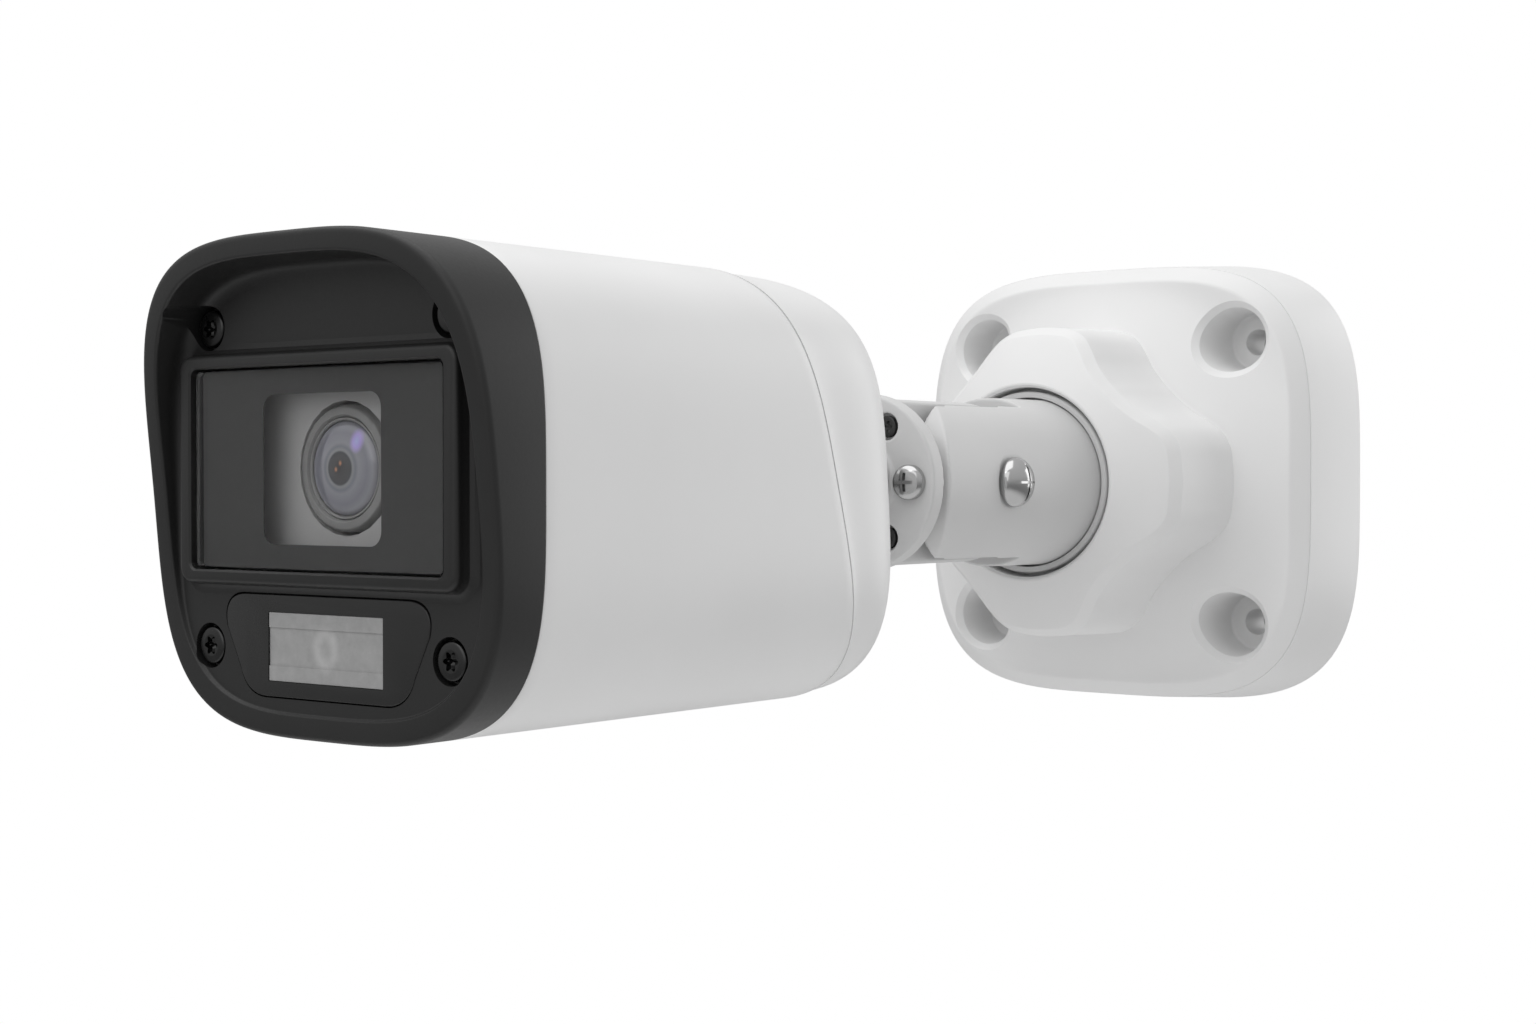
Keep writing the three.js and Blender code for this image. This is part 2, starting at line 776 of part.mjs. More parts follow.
// How far the hood's rim reaches at height z above the body's centre line.
function rimY(z) {
  const t = THREE.MathUtils.clamp((z + BODY_R) / (2 * BODY_R), 0, 1);
  return RIM_LOW - BROW * t * t;
}

const RIM_MARK = -200; // profile points beyond this follow the rim

function followRim(p) {
  if (p.y < RIM_MARK + 20) p.y = rimY(p.z) + (p.y - RIM_MARK);
  return p;
}

function hoodShell() {
  const lip = BODY_R - WALL - GAP;
  return squircle(
    [
      [0, FLOOR_Y],
      [21.6, FLOOR_Y],
      [21.9, RIM_MARK + 0.25],
      [22.15, RIM_MARK],
      [23.7, RIM_MARK],
      [24.1, RIM_MARK + 0.3],
      [24.35, RIM_MARK + 1],
      [BODY_R, HOOD_BACK - 1],
      [BODY_R, HOOD_BACK],
      [lip, HOOD_BACK],
      [lip, HOOD_BACK + 2],
      [lip - 1.5, HOOD_BACK + 2],
      [lip - 1.5, FLOOR_Y + SLAB],
      [0, FLOOR_Y + SLAB],
    ],
    BODY_POWER,
    camera(followRim, 44),
  );
}

// The window's outline, grown by edge at the sides and by less above and below.
function framed(edge, r) {
  const half = GLASS_HALF + edge;
  const rise = edge * 0.75;
  return roundedRect(-half, half, GLASS_BOTTOM - rise, GLASS_TOP + rise, r);
}

function ledOutline(inset) {
  const top = -10.9 - inset;
  const bottom = -21.3 + inset;
  const shape = new THREE.Shape();
  const side = 14.6 - inset;
  shape.moveTo(-8.6, bottom);
  shape.lineTo(8.6, bottom);
  shape.quadraticCurveTo(11.6, bottom, 12.4, bottom + 2.6);
  shape.lineTo(side, top - 3.4);
  shape.quadraticCurveTo(side + 0.4, top, side - 2.8, top);
  shape.lineTo(-side + 2.8, top);
  shape.quadraticCurveTo(-side - 0.4, top, -side, top - 3.4);
  shape.lineTo(-12.4, bottom + 2.6);
  shape.quadraticCurveTo(-11.6, bottom, -8.6, bottom);
  return shape;
}

function frontHood() {
  const frame = plate(framed(FRAME_EDGE, 1.2), FLOOR_Y + 1, GLASS_FRONT - 0.5, 0.6);
  const screwCuts = HOOD_SCREWS.flatMap(([, x, z]) => [
    rodY(2.3, -190, FLOOR_Y + 1.4, x, z, 12),
    rodY(1.45, -190, -160, x, z, 8),
  ]);
  const pocketDepth = GLASS_FRONT + GLASS_T + 1.1;
  return cut(
    join(hoodShell(), frame),
    plate(framed(0.45, 0.8), pocketDepth, -190),
    plate(framed(-1.9, 1), -160, -190),
    plate(ledOutline(0), FLOOR_Y + 1.2, -190),
    box(-LED_HALF + 0.5, LED_HALF - 0.5, -180, -160, LED_BOTTOM + 0.5, LED_TOP - 0.5),
    ...screwCuts,
  );
}

function windowGlass() {
  return plate(framed(0, 0.5), GLASS_FRONT + GLASS_T, GLASS_FRONT, 0.15);
}

const maskRear = GLASS_FRONT + GLASS_T + GAP + 0.5;

function windowGasket() {
  const ring = plate(framed(0, 0.6), maskRear, GLASS_FRONT + GLASS_T + GAP);
  return cut(ring, plate(framed(-1.5, 0.8), -160, -190));
}

function windowMask() {
  const sheet = plate(framed(-1.8, 0.8), maskRear, GLASS_FRONT + GLASS_T + GAP);
  const clear = roundedRect(-8.4, 8.4, LENS_Z - 7.4, LENS_Z + 7.3, 1.5);
  return cut(sheet, plate(clear, -160, -190));
}

const ledWindow = (edge, r) =>
  roundedRect(-LED_HALF - edge, LED_HALF + edge, LED_BOTTOM - edge, LED_TOP + edge, r);

function ledCover() {
  const sheet = plate(ledOutline(0.3), FLOOR_Y + 0.9, FLOOR_Y - 0.3, 0.3);
  return cut(sheet, plate(ledWindow(GAP, 0.4), -160, -190));
}

function ledDiffuser() {
  return plate(ledWindow(0, 0.3), FLOOR_Y + 0.9, FLOOR_Y - 0.2, 0.15);
}

// ---- lens and electronics -----------------------------------------------------------------------

// Light baffle behind the hood's opening, around the lens.
function lensShroud() {
  const front = FLOOR_Y + SLAB + GAP;
  const sheet = plate(framed(-0.2, 1), front + 1.2, front);
  return cut(sheet, rodY(LENS_R + 0.4, front - 1, front + 2, 0, LENS_Z, 24));
}

function lensBarrel() {
  const f = LENS_FRONT;
  const profile = [
    [5, f + 0.6],
    [LENS_R - 0.3, f],
    [LENS_R, f + 0.4],
    [LENS_R, f + 5],
    [5.6, f + 5.4],
    [5.6, f + 17],
    [3.6, f + 17],
    [3.6, f + 3.4],
    [5, f + 3.4],
  ];
  return solid(lathe(closed(profile), 20, 0, LENS_Z));
}

function lensRing() {
  const f = LENS_FRONT;
  const profile = [[3.7, f + 1.5], [4.7, f + 0.4], [4.7, f + 1.7], [3.7, f + 1.7]];
  return solid(lathe(closed(profile), 20, 0, LENS_Z));
}

function lensElement() {
  const f = LENS_FRONT + 2;
  const dome = [0, 1, 2, 3, 4].map((i) => {
    const a = (i * Math.PI) / 10;
    return [4.6 * Math.sin(a), f + 1.1 - 1.1 * Math.cos(a)];
  });
  return solid(lathe([...dome, [4.6, f + 1.1], [0, f + 1.1]], 20, 0, LENS_Z));
}

function lensHolder() {
  const f = LENS_FRONT + 9;
  const ring = solid(lathe(closed([[5.9, f], [8, f], [8, f + 10], [5.9, f + 10]]), 20, 0, LENS_Z));
  const foot = box(-9, 9, f + 8.2, f + 12, LENS_Z - 9, LENS_Z + 9);
  const opening = box(-6, 6, f + 9, f + 13, LENS_Z - 6, LENS_Z + 6);
  return cut(join(ring, foot), rodY(5.9, f - 1, f + 9.6, 0, LENS_Z, 20), opening);
}

const BOARD_Y = LENS_FRONT + 21.3;
const boardScrews = [["left", -11.2, -6], ["right", 11.2, -6]];

function sensorBoard() {
  const sheet = box(-14, 14, BOARD_Y + 1.2, BOARD_Y, -9.4, 12.6);
  return cut(sheet, ...boardScrews.map(([, x, z]) => rodY(1.3, -170, -120, x, z, 8)));
}

function boardScrew(x, z) {
  const f = BOARD_Y - 1.4;
  const profile = [[0, f], [1.8, f], [1.8, f + 1.1], [1, f + 1.1], [1, f + 5], [0, f + 5.5]];
  return cut(solid(lathe(profile, 10, x, z)), rodY(0.7, f - 1, f + 0.6, x, z, 6));
}

const TRAY_Y = BOARD_Y + 1.2 + GAP;

function chassis() {
  const wall = box(-14, 14, TRAY_Y + 1.5, TRAY_Y, -13, 12);
  const tray = box(-14, 14, -120, TRAY_Y, -13, -11.5);
  const toe = box(-14, 14, TRAY_Y, TRAY_Y - 12, -13, -11.5);
  const holes = boardScrews.map(([, x, z]) => rodY(1.3, -170, -120, x, z, 8));
  const cableSlot = box(-6, 6, -160, TRAY_Y + 3, 4, 9);
  return cut(join(wall, tray, toe), ...holes, cableSlot);
}

function mainBoard() {
  return box(-12.5, 12.5, -122, TRAY_Y + 3, -9.4, -8.2);
}

function heatSink() {
  const base = box(-9, 9, -126, -140, -7.9, -6);
  const fins = [-7.9, -3.95, 0, 3.95, 7.9].map((x) => box(x - 0.7, x + 0.7, -126, -140, -6.2, 0));
  return join(base, ...fins);
}

// ---- assembly -----------------------------------------------------------------------------------

addPiece("base_cover", baseCover(), WHITE);
addPiece("base_skirt", baseSkirt(), WHITE);
addPiece("back_plate", backPlate(), ALUMINIUM);
addPiece("cable_grommet", cableGrommet(), RUBBER);
posts.forEach(([name, x, z]) => addPiece(`back_plate_screw_${name}`, backPlateScrew(x, z), STEEL));
addPiece("pan_bush", panBush(), NYLON);
addPiece("pan_lock_screw", panLockScrew(), DARK_STEEL);

addPiece("arm", arm(), PALE);
addPiece("pan_ring", panRing(), PALE);
addPiece("pan_retainer", panRetainer(), STEEL);
retainerPlaces().forEach(([x, z], i) =>
  addPiece(`pan_retainer_screw_${i + 1}`, retainerScrew(x, z), STEEL),
);
addPiece("tilt_screw", tiltScrew(), STEEL);
addPiece("tilt_nut", tiltNut(), STEEL);

addPiece("knuckle", knuckle(), PALE);
addPiece("tilt_washer_left", tiltWasher(-1), NYLON);
addPiece("tilt_washer_right", tiltWasher(1), NYLON);
addPiece("swivel_stud", swivelStud(), STEEL);
addPiece("swivel_nut", swivelNut(), STEEL);
domeScrews.forEach(([name, x, z]) => {
  const shape = { x, z, headY: DISC_FRONT - 0.9, headR: 2.25, headH: 0.6, shankR: 0.9 };
  const screw = screwY({ ...shape, tipY: -79.9, socketR: 1.1, dome: 0.9 });
  addPiece(`knuckle_dome_screw_${name}`, screw, STEEL);
});
recessedScrews.forEach(([name, x, z]) => {
  const shape = { x, z, headY: DISC_FRONT + 0.1, headR: 1.4, headH: 0.6, shankR: 0.7 };
  const screw = screwY({ ...shape, tipY: -79.6, socketR: 0.8 });
  addPiece(`knuckle_screw_${name}`, screw, DARK_STEEL);
});

addPiece("front_hood", frontHood(), BLACK);
addPiece("window_glass", windowGlass(), GLASS);
addPiece("window_gasket", windowGasket(), RUBBER);
addPiece("window_mask", windowMask(), BLACK);
addPiece("led_cover", ledCover(), SMOKED);
addPiece("led_diffuser", ledDiffuser(), DIFFUSER);
HOOD_SCREWS.forEach(([name, x, z]) => {
  const shape = { x, z, headY: FLOOR_Y, headR: 1.9, headH: 1.1, shankR: 1.1 };
  const screw = screwY({ ...shape, tipY: -153.5, socketR: 0.95 });
  addPiece(`hood_screw_${name}`, screw, DARK_STEEL);
});
addPiece("housing", housing(), WHITE);
addPiece("rear_cover", rearCover(), WHITE);
addPiece("hood_seal", sealRing(22.1, 0.5, HOOD_BACK + 2.3, 1.2, (p) => p), RUBBER);
addPiece("rear_seal", sealRing(22.1, 1, CREASE_Y - 4.4, 1.2, leanHousing), RUBBER);
addPiece("lens_shroud", lensShroud(), SHROUD);
addPiece("lens_barrel", lensBarrel(), CHIP);
addPiece("lens_front_element", lensElement(), LENS_GLASS);
addPiece("lens_retaining_ring", lensRing(), CHIP);
addPiece("lens_holder", lensHolder(), CHIP);
addPiece("image_sensor", box(-4, 4, BOARD_Y - GAP, BOARD_Y - 1.9, LENS_Z - 3.5, LENS_Z + 3.5), CHIP);
addPiece("sensor_board", sensorBoard(), BOARD);
boardScrews.forEach(([name, x, z]) => addPiece(`sensor_board_screw_${name}`, boardScrew(x, z), STEEL));
addPiece("chassis", chassis(), ALUMINIUM);
addPiece("main_board", mainBoard(), BOARD);
addPiece("heat_sink", heatSink(), ALUMINIUM);
addPiece("led_board", box(-9.4, 9.4, -166.4, -167.6, -19.4, -11.8), BOARD);
addPiece("led_emitter", rodY(1.7, -168.9, -167.9, 0, (LED_TOP + LED_BOTTOM) / 2, 16), DIFFUSER);

export default group;
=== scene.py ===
import json
import math

import bmesh
import bpy
import numpy as np
from mathutils import Matrix, Vector

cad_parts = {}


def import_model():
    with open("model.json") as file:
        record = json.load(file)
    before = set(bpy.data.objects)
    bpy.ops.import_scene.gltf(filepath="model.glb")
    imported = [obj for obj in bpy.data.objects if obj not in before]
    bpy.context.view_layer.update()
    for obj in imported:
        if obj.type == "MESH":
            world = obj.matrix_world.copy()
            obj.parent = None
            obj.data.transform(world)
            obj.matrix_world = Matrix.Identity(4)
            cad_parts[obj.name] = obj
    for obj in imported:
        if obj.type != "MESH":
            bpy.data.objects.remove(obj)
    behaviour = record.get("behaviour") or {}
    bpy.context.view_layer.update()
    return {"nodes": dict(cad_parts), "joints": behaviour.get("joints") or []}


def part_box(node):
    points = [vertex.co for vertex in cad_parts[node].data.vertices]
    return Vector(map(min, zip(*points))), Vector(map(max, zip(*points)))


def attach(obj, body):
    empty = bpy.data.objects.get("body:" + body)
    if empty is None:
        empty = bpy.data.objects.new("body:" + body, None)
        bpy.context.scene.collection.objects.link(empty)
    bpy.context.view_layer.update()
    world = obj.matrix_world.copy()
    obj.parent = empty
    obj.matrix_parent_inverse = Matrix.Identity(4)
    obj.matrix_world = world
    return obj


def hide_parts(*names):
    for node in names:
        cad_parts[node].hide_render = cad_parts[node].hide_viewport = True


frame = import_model()

# Shapes are worked out in millimetres, in the frame's own axes, and scaled to metres at the end.
MM = 0.001
FULL_TURN = 2 * math.pi


def box_mm(node):
    """Lowest and highest corner of a CAD node, in millimetres."""
    low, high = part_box(node)
    return low / MM, high / MM


def joint_mm(name):
    """The point that a joint turns about, in millimetres."""
    joint = next(j for j in frame["joints"] if j["name"] == name)
    return Vector(joint["pos_m"]) / MM


def centre_mm(node):
    low, high = box_mm(node)
    return (low + high) / 2


# ---- driving dimensions, from the frame where it holds them ----------------------------------------

SEAM = 0.05  # how far apart two visible shells stay at their seam
BODY_POWER = 3.5
BASE_POWER = 3.7

hood_low, hood_high = box_mm("front_hood")
BODY_R = (hood_high.x - hood_low.x) / 2
BODY_Z = (hood_high.z + hood_low.z) / 2
HOOD_BACK = -166.5
CREASE_Y = -120.5
CREASE_SLANT = 0.3
REAR_LENGTH = 18
WALL = 2.2
NECK_END = box_mm("rear_cover")[1].y

FLOOR_Y = -171.6
RIM_LOW = -171.9
BROW = 5.7
glass_low, glass_high = box_mm("window_glass")
led_low, led_high = box_mm("led_diffuser")
LENS = centre_mm("lens_front_element")
LENS_FRONT = box_mm("lens_barrel")[0].y

BASE_BACK = box_mm("base_skirt")[1].x
BASE_SEAM = box_mm("base_cover")[1].x
SEAM_Y = -15
CHAMFER = 2.2
FACE_LEVEL = SEAM_Y - CHAMFER
DOME_RISE = 7.6
DOME_CURVE = 0.0083
DOME_EASE = 0.6
BOSS_FRONT = box_mm("base_cover")[0].y
BOSS_ROOT = -19.4
CROWN_FLAT = 14.2
CROWN_CURVE = 0.0144
BOSS_EIGHTH = [
    (22.4, 0), (22.2, 2.9), (21.8, 5.1), (20.7, 7.0), (18.9, 8.5), (16.6, 10.0), (14.4, 11.8), (13.1, 13.1),
]
SOCKET_R = 13.6
SOCKET_FLOOR = -37
MOUNT_X = 21.1
MOUNT_Z = 20.8
TILT_Y = joint_mm("tilt").y


# ---- mesh helpers ----------------------------------------------------------------------------------


def mesh_object(name, points, faces):
    mesh = bpy.data.meshes.new(name)
    mesh.from_pydata([tuple(map(float, p)) for p in points], [], faces)
    mesh.update()
    made = bmesh.new()
    made.from_mesh(mesh)
    bmesh.ops.remove_doubles(made, verts=made.verts, dist=1e-5)
    bmesh.ops.recalc_face_normals(made, faces=made.faces)
    made.to_mesh(mesh)
    made.free()
    piece = bpy.data.objects.new(name, mesh)
    bpy.context.scene.collection.objects.link(piece)
    return piece


def rounded(points, closed=False, steps=5):
    """A polyline whose corners given as (a, b, radius) are turned into arcs."""
    count = len(points)
    made = []
    for i, point in enumerate(points):
        here = np.array(point[:2], float)
        radius = point[2] if len(point) > 2 else 0
        if not radius or (not closed and i in (0, count - 1)):
            made.append(here)
            continue
        back = np.array(points[i - 1][:2], float) - here
        on = np.array(points[(i + 1) % count][:2], float) - here
        back_len, on_len = np.linalg.norm(back), np.linalg.norm(on)
        back, on = back / back_len, on / on_len
        half = math.acos(max(-1, min(1, float(back @ on)))) / 2
        if math.sin(half) > 0.999:
            made.append(here)
            continue
        reach = min(radius / math.tan(half), back_len * 0.49, on_len * 0.49)
        a, b = here + back * reach, here + on * reach
        for k in range(steps + 1):
            t = k / steps
            made.append((1 - t) ** 2 * a + 2 * t * (1 - t) * here + t * t * b)
    return made


def squircle_factor(angle, power):
    c, s = abs(math.cos(angle)), abs(math.sin(angle))
    return 1 if power == 2 else (c ** power + s ** power) ** (-1 / power)


def turned(name, profile, power=2, segments=96, centre=(0, 0), closed=False, bend=None):
    """A surface about the Y axis. profile is a list of (radius, y), or a function of the angle giving one."""
    rows = []
    for j in range(segments):
        angle = j * FULL_TURN / segments
        section = profile(angle) if callable(profile) else profile
        factor = squircle_factor(angle, power)
        row = []
        for r, y in section:
            x, z = r * factor * math.cos(angle), r * factor * math.sin(angle)
            if bend:
                y = bend(y, z)
            row.append((x + centre[0], y, z + centre[1]))
        rows.append(row)
    size = len(rows[0])
    faces = []
    for j in range(segments):
        k = (j + 1) % segments
        for i in range(size if closed else size - 1):
            n = (i + 1) % size
            faces.append((j * size + i, k * size + i, k * size + n, j * size + n))
    piece = mesh_object(name, [p for row in rows for p in row], faces)
    return cleaned(piece)


def cleaned(piece):
    """Drops the collapsed faces that a profile on the axis leaves."""
    made = bmesh.new()
    made.from_mesh(piece.data)
    bmesh.ops.dissolve_degenerate(made, dist=1e-5, edges=made.edges)
    bmesh.ops.recalc_face_normals(made, faces=made.faces)
    made.to_mesh(piece.data)
    made.free()
    return piece


def arc(cx, cz, radius, start, end, steps=8):
    angles = [math.radians(start + (end - start) * k / steps) for k in range(steps + 1)]
    return [(cx + radius * math.cos(a), cz + radius * math.sin(a)) for a in angles]


def rect_outline(x0, x1, z0, z1, r):
    return (
        arc(x1 - r, z0 + r, r, -90, 0)
        + arc(x1 - r, z1 - r, r, 0, 90)
        + arc(x0 + r, z1 - r, r, 90, 180)
        + arc(x0 + r, z0 + r, r, 180, 270)
    )


def bezier(a, b, c, d, steps=16):
    a, b, c, d = (np.array(p, float) for p in (a, b, c, d))
    ts = [k / steps for k in range(1, steps + 1)]
    return [
        tuple((1 - t) ** 3 * a + 3 * t * (1 - t) ** 2 * b + 3 * t * t * (1 - t) * c + t ** 3 * d)
        for t in ts
    ]


def offset_outline(outline, distance):
    """The outline, which runs anticlockwise in X and Z, moved outwards by distance."""
    p = np.array(outline, float)
    along = np.roll(p, -1, 0) - np.roll(p, 1, 0)
    normal = np.stack([along[:, 1], -along[:, 0]], 1)
    normal /= np.linalg.norm(normal, axis=1)[:, None] + 1e-12
    return p + normal * distance


def stacked(name, outline, levels, closed=False):
    """A solid made of the outline at several levels, each (outward offset, y). A closed one is a ring."""
    count = len(outline)
    points = []
    for distance, y in levels:
        points += [(x, y, z) for x, z in offset_outline(outline, distance)]
    faces = []
    loops = len(levels)
    for i in range(loops if closed else loops - 1):
        n = (i + 1) % loops
        for j in range(count):
            k = (j + 1) % count
            faces.append((i * count + j, i * count + k, n * count + k, n * count + j))
    if not closed:
        faces.append(tuple(range(count)))
        faces.append(tuple((loops - 1) * count + j for j in reversed(range(count))))
    return mesh_object(name, points, faces)


def edge_levels(front, rear, radius, rear_radius=0, steps=4):
    """Levels of a plate between two y values whose front and rear edges are rounded."""
    def quarter(y, r, sign):
        turns = [k / steps * math.pi / 2 for k in range(steps + 1)]
        return [(-r * (1 - math.sin(t)), y + sign * r * (1 - math.cos(t))) for t in turns]

    fore = quarter(front, radius, 1) if radius else [(0, front)]
    aft = quarter(rear, rear_radius, -1) if rear_radius else [(0, rear)]
    return fore + aft[::-1]


def rod(radius, y0, y1, x=0, z=0, segments=48):
    return turned("rod", [(0, y0), (radius, y0), (radius, y1), (0, y1)], 2, segments, (x, z))


def turn_object(piece, matrix):
    piece.data.transform(matrix)
    piece.data.update()
    return piece


def along_x(piece, y, z=0):
    """Turns a piece about the Y axis into one about the X axis: its -Y end faces +X, at the given y and z."""
    return turn_object(piece, Matrix.Translation((0, y, z)) @ Matrix.Rotation(math.pi / 2, 4, "Z"))


def block(x0, x1, y0, y1, z0, z1):
    corners = [(x, y, z) for x in (x0, x1) for y in (y0, y1) for z in (z0, z1)]
    faces = [(0, 1, 3, 2), (4, 6, 7, 5), (0, 4, 5, 1), (2, 3, 7, 6), (0, 2, 6, 4), (1, 5, 7, 3)]
    return mesh_object("block", corners, faces)


def bake(piece):
    depsgraph = bpy.context.evaluated_depsgraph_get()
    piece.data = bpy.data.meshes.new_from_object(piece.evaluated_get(depsgraph))
    piece.modifiers.clear()
    return piece


def combine(piece, others, operation):
    for other in others:
        step = piece.modifiers.new(operation, "BOOLEAN")
        step.operation = operation
        step.solver = "EXACT"
        step.object = other
        bake(piece)
        bpy.data.objects.remove(other)
    return piece


def cut(piece, *others):
    return combine(piece, others, "DIFFERENCE")


def join(piece, *others):
    return combine(piece, others, "UNION")


def softened(piece, voxel, passes):
    """Remeshes a casting and eases its edges."""
    step = piece.modifiers.new("remesh", "REMESH")
    step.mode = "VOXEL"
    step.voxel_size = voxel
    ease = piece.modifiers.new("ease", "SMOOTH")
    ease.iterations = passes
    ease.factor = 0.5
    return bake(piece)


def place(piece, name, body, material, nodes=None, sharp=32):
    """Scales a finished piece to metres, names it and fastens it to its body."""
    turn_object(piece, Matrix.Scale(MM, 4))
    piece.name = name
    piece.data.name = name
    for polygon in piece.data.polygons:
        polygon.use_smooth = True
    piece.data.set_sharp_from_angle(angle=math.radians(sharp))
    piece.data.materials.clear()
    piece.data.materials.append(material)
    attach(piece, body)
    if nodes:
        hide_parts(*nodes)
    return piece


# ---- materials -------------------------------------------------------------------------------------


class Nodes:
    """A short way to build one material's node tree."""

    def __init__(self, name):
        self.material = bpy.data.materials.new(name)
        self.material.use_nodes = True
        self.tree = self.material.node_tree
        self.shader = self.tree.nodes["Principled BSDF"]
        self.place = self.add("ShaderNodeTexCoord").outputs["Object"]

    def add(self, kind, **settings):
        node = self.tree.nodes.new(kind)
        for key, value in settings.items():
            setattr(node, key, value)
        return node

    def link(self, source, target):
        self.tree.links.new(source, target)

    def set(self, **sockets):
        for key, value in sockets.items():
            self.shader.inputs[key.replace("_", " ")].default_value = value

    def noise(self, scale, detail=4, rough=0.5, stretch=None):
        node = self.add("ShaderNodeTexNoise")
        node.inputs["Scale"].default_value = scale
        node.inputs["Detail"].default_value = detail
        node.inputs["Roughness"].default_value = rough
        source = self.place
        if stretch:
            mapping = self.add("ShaderNodeMapping")
            mapping.inputs["Scale"].default_value = stretch
            self.link(source, mapping.inputs["Vector"])
            source = mapping.outputs["Vector"]
        self.link(source, node.inputs["Vector"])
        return node.outputs["Fac"]

    def ramp(self, value, stops, ease="LINEAR"):
        node = self.add("ShaderNodeValToRGB")
        node.color_ramp.interpolation = ease
        elements = node.color_ramp.elements
        while len(elements) < len(stops):
            elements.new(0.5)
        for element, (at, colour) in zip(elements, stops):
            element.position = at
            element.color = (*colour, 1)
        self.link(value, node.inputs["Fac"])
        return node.outputs["Color"]

    def spread(self, value, low, high):
        node = self.add("ShaderNodeMapRange")
        node.inputs["From Min"].default_value = 0.3
        node.inputs["From Max"].default_value = 0.7
        node.inputs["To Min"].default_value = low
        node.inputs["To Max"].default_value = high
        self.link(value, node.inputs["Value"])
        return node.outputs["Result"]

    def math(self, operation, a, b=None):
        node = self.add("ShaderNodeMath", operation=operation)
        for socket, value in zip(node.inputs, (a, b)):
            if value is None:
                continue
            if isinstance(value, (int, float)):
                socket.default_value = value
            else:
                self.link(value, socket)
        return node.outputs["Value"]

    def bump(self, value, strength, depth):
        node = self.add("ShaderNodeBump")
        node.inputs["Strength"].default_value = strength
        node.inputs["Distance"].default_value = depth
        self.link(value, node.inputs["Height"])
        self.link(node.outputs["Normal"], self.shader.inputs["Normal"])

    def colour(self, output):
        self.link(output, self.shader.inputs["Base Color"])

    def rough(self, output):
        self.link(output, self.shader.inputs["Roughness"])


def grey(value, tint=(1, 1, 1)):
    return tuple(value * t for t in tint)


def moulded(name, colour, rough, grain=2600, depth=0.00002, strength=0.25, mottle=0.03, **sockets):
    """Moulded plastic or powder coat: a fine grain, with slow changes of tone and gloss."""
    n = Nodes(name)
    slow = n.noise(55, 3)
    fine = n.noise(grain, 3, 0.6)
    low = tuple(max(0, c * (1 - mottle)) for c in colour)
    high = tuple(min(1, c * (1 + mottle)) for c in colour)
    n.colour(n.ramp(slow, [(0.3, low), (0.7, high)]))
    both = n.math("ADD", n.math("MULTIPLY", slow, 0.6), n.math("MULTIPLY", fine, 0.4))
    n.rough(n.spread(both, rough - 0.05, rough + 0.06))
    n.bump(fine, strength, depth)
    n.set(**sockets)
    return n.material


def metal(name, colour, rough, streak=(1, 1, 1), scale=900, mottle=0.08, depth=0.000004):
    """Plain metal with fine, possibly stretched, scratches."""
    n = Nodes(name)
    fine = n.noise(scale, 5, 0.6, streak)
    slow = n.noise(120, 2)
    low, high = grey(1 - mottle, colour), grey(1 + mottle / 2, colour)
    n.colour(n.ramp(slow, [(0.3, low), (0.7, high)]))
    n.rough(n.spread(fine, max(0.02, rough - 0.05), rough + 0.08))
    n.bump(fine, 0.2, depth)
    n.set(Metallic=1.0)
    return n.material


def board_material(name):
    """Green solder mask with copper tracks and pads under it."""
    n = Nodes(name)
    cells = n.add("ShaderNodeTexVoronoi", feature="F1", distance="CHEBYCHEV")
    cells.inputs["Scale"].default_value = 420
    n.link(n.place, cells.inputs["Vector"])
    waves = n.math("PINGPONG", n.math("MULTIPLY", cells.outputs["Distance"], 3.0), 0.5)
    tracks = n.math("LESS_THAN", waves, 0.14)
    n.colour(n.ramp(tracks, [(0.4, (0.006, 0.075, 0.022)), (0.6, (0.02, 0.19, 0.06))]))
    n.rough(n.spread(n.noise(500), 0.28, 0.4))
    n.bump(tracks, 0.4, 0.00003)
    return n.material


def centred(n, centre, squash=(1, 1, 1)):
    """Distance from a point, in millimetres, measured across X and Z only."""
    mapping = n.add("ShaderNodeMapping")
    mapping.inputs["Location"].default_value = [-c * s for c, s in zip(centre, squash)]
    mapping.inputs["Scale"].default_value = [s / MM for s in squash]
    n.link(n.place, mapping.inputs["Vector"])
    length = n.add("ShaderNodeVectorMath", operation="LENGTH")
    n.link(mapping.outputs["Vector"], length.inputs[0])
    return length.outputs["Value"]


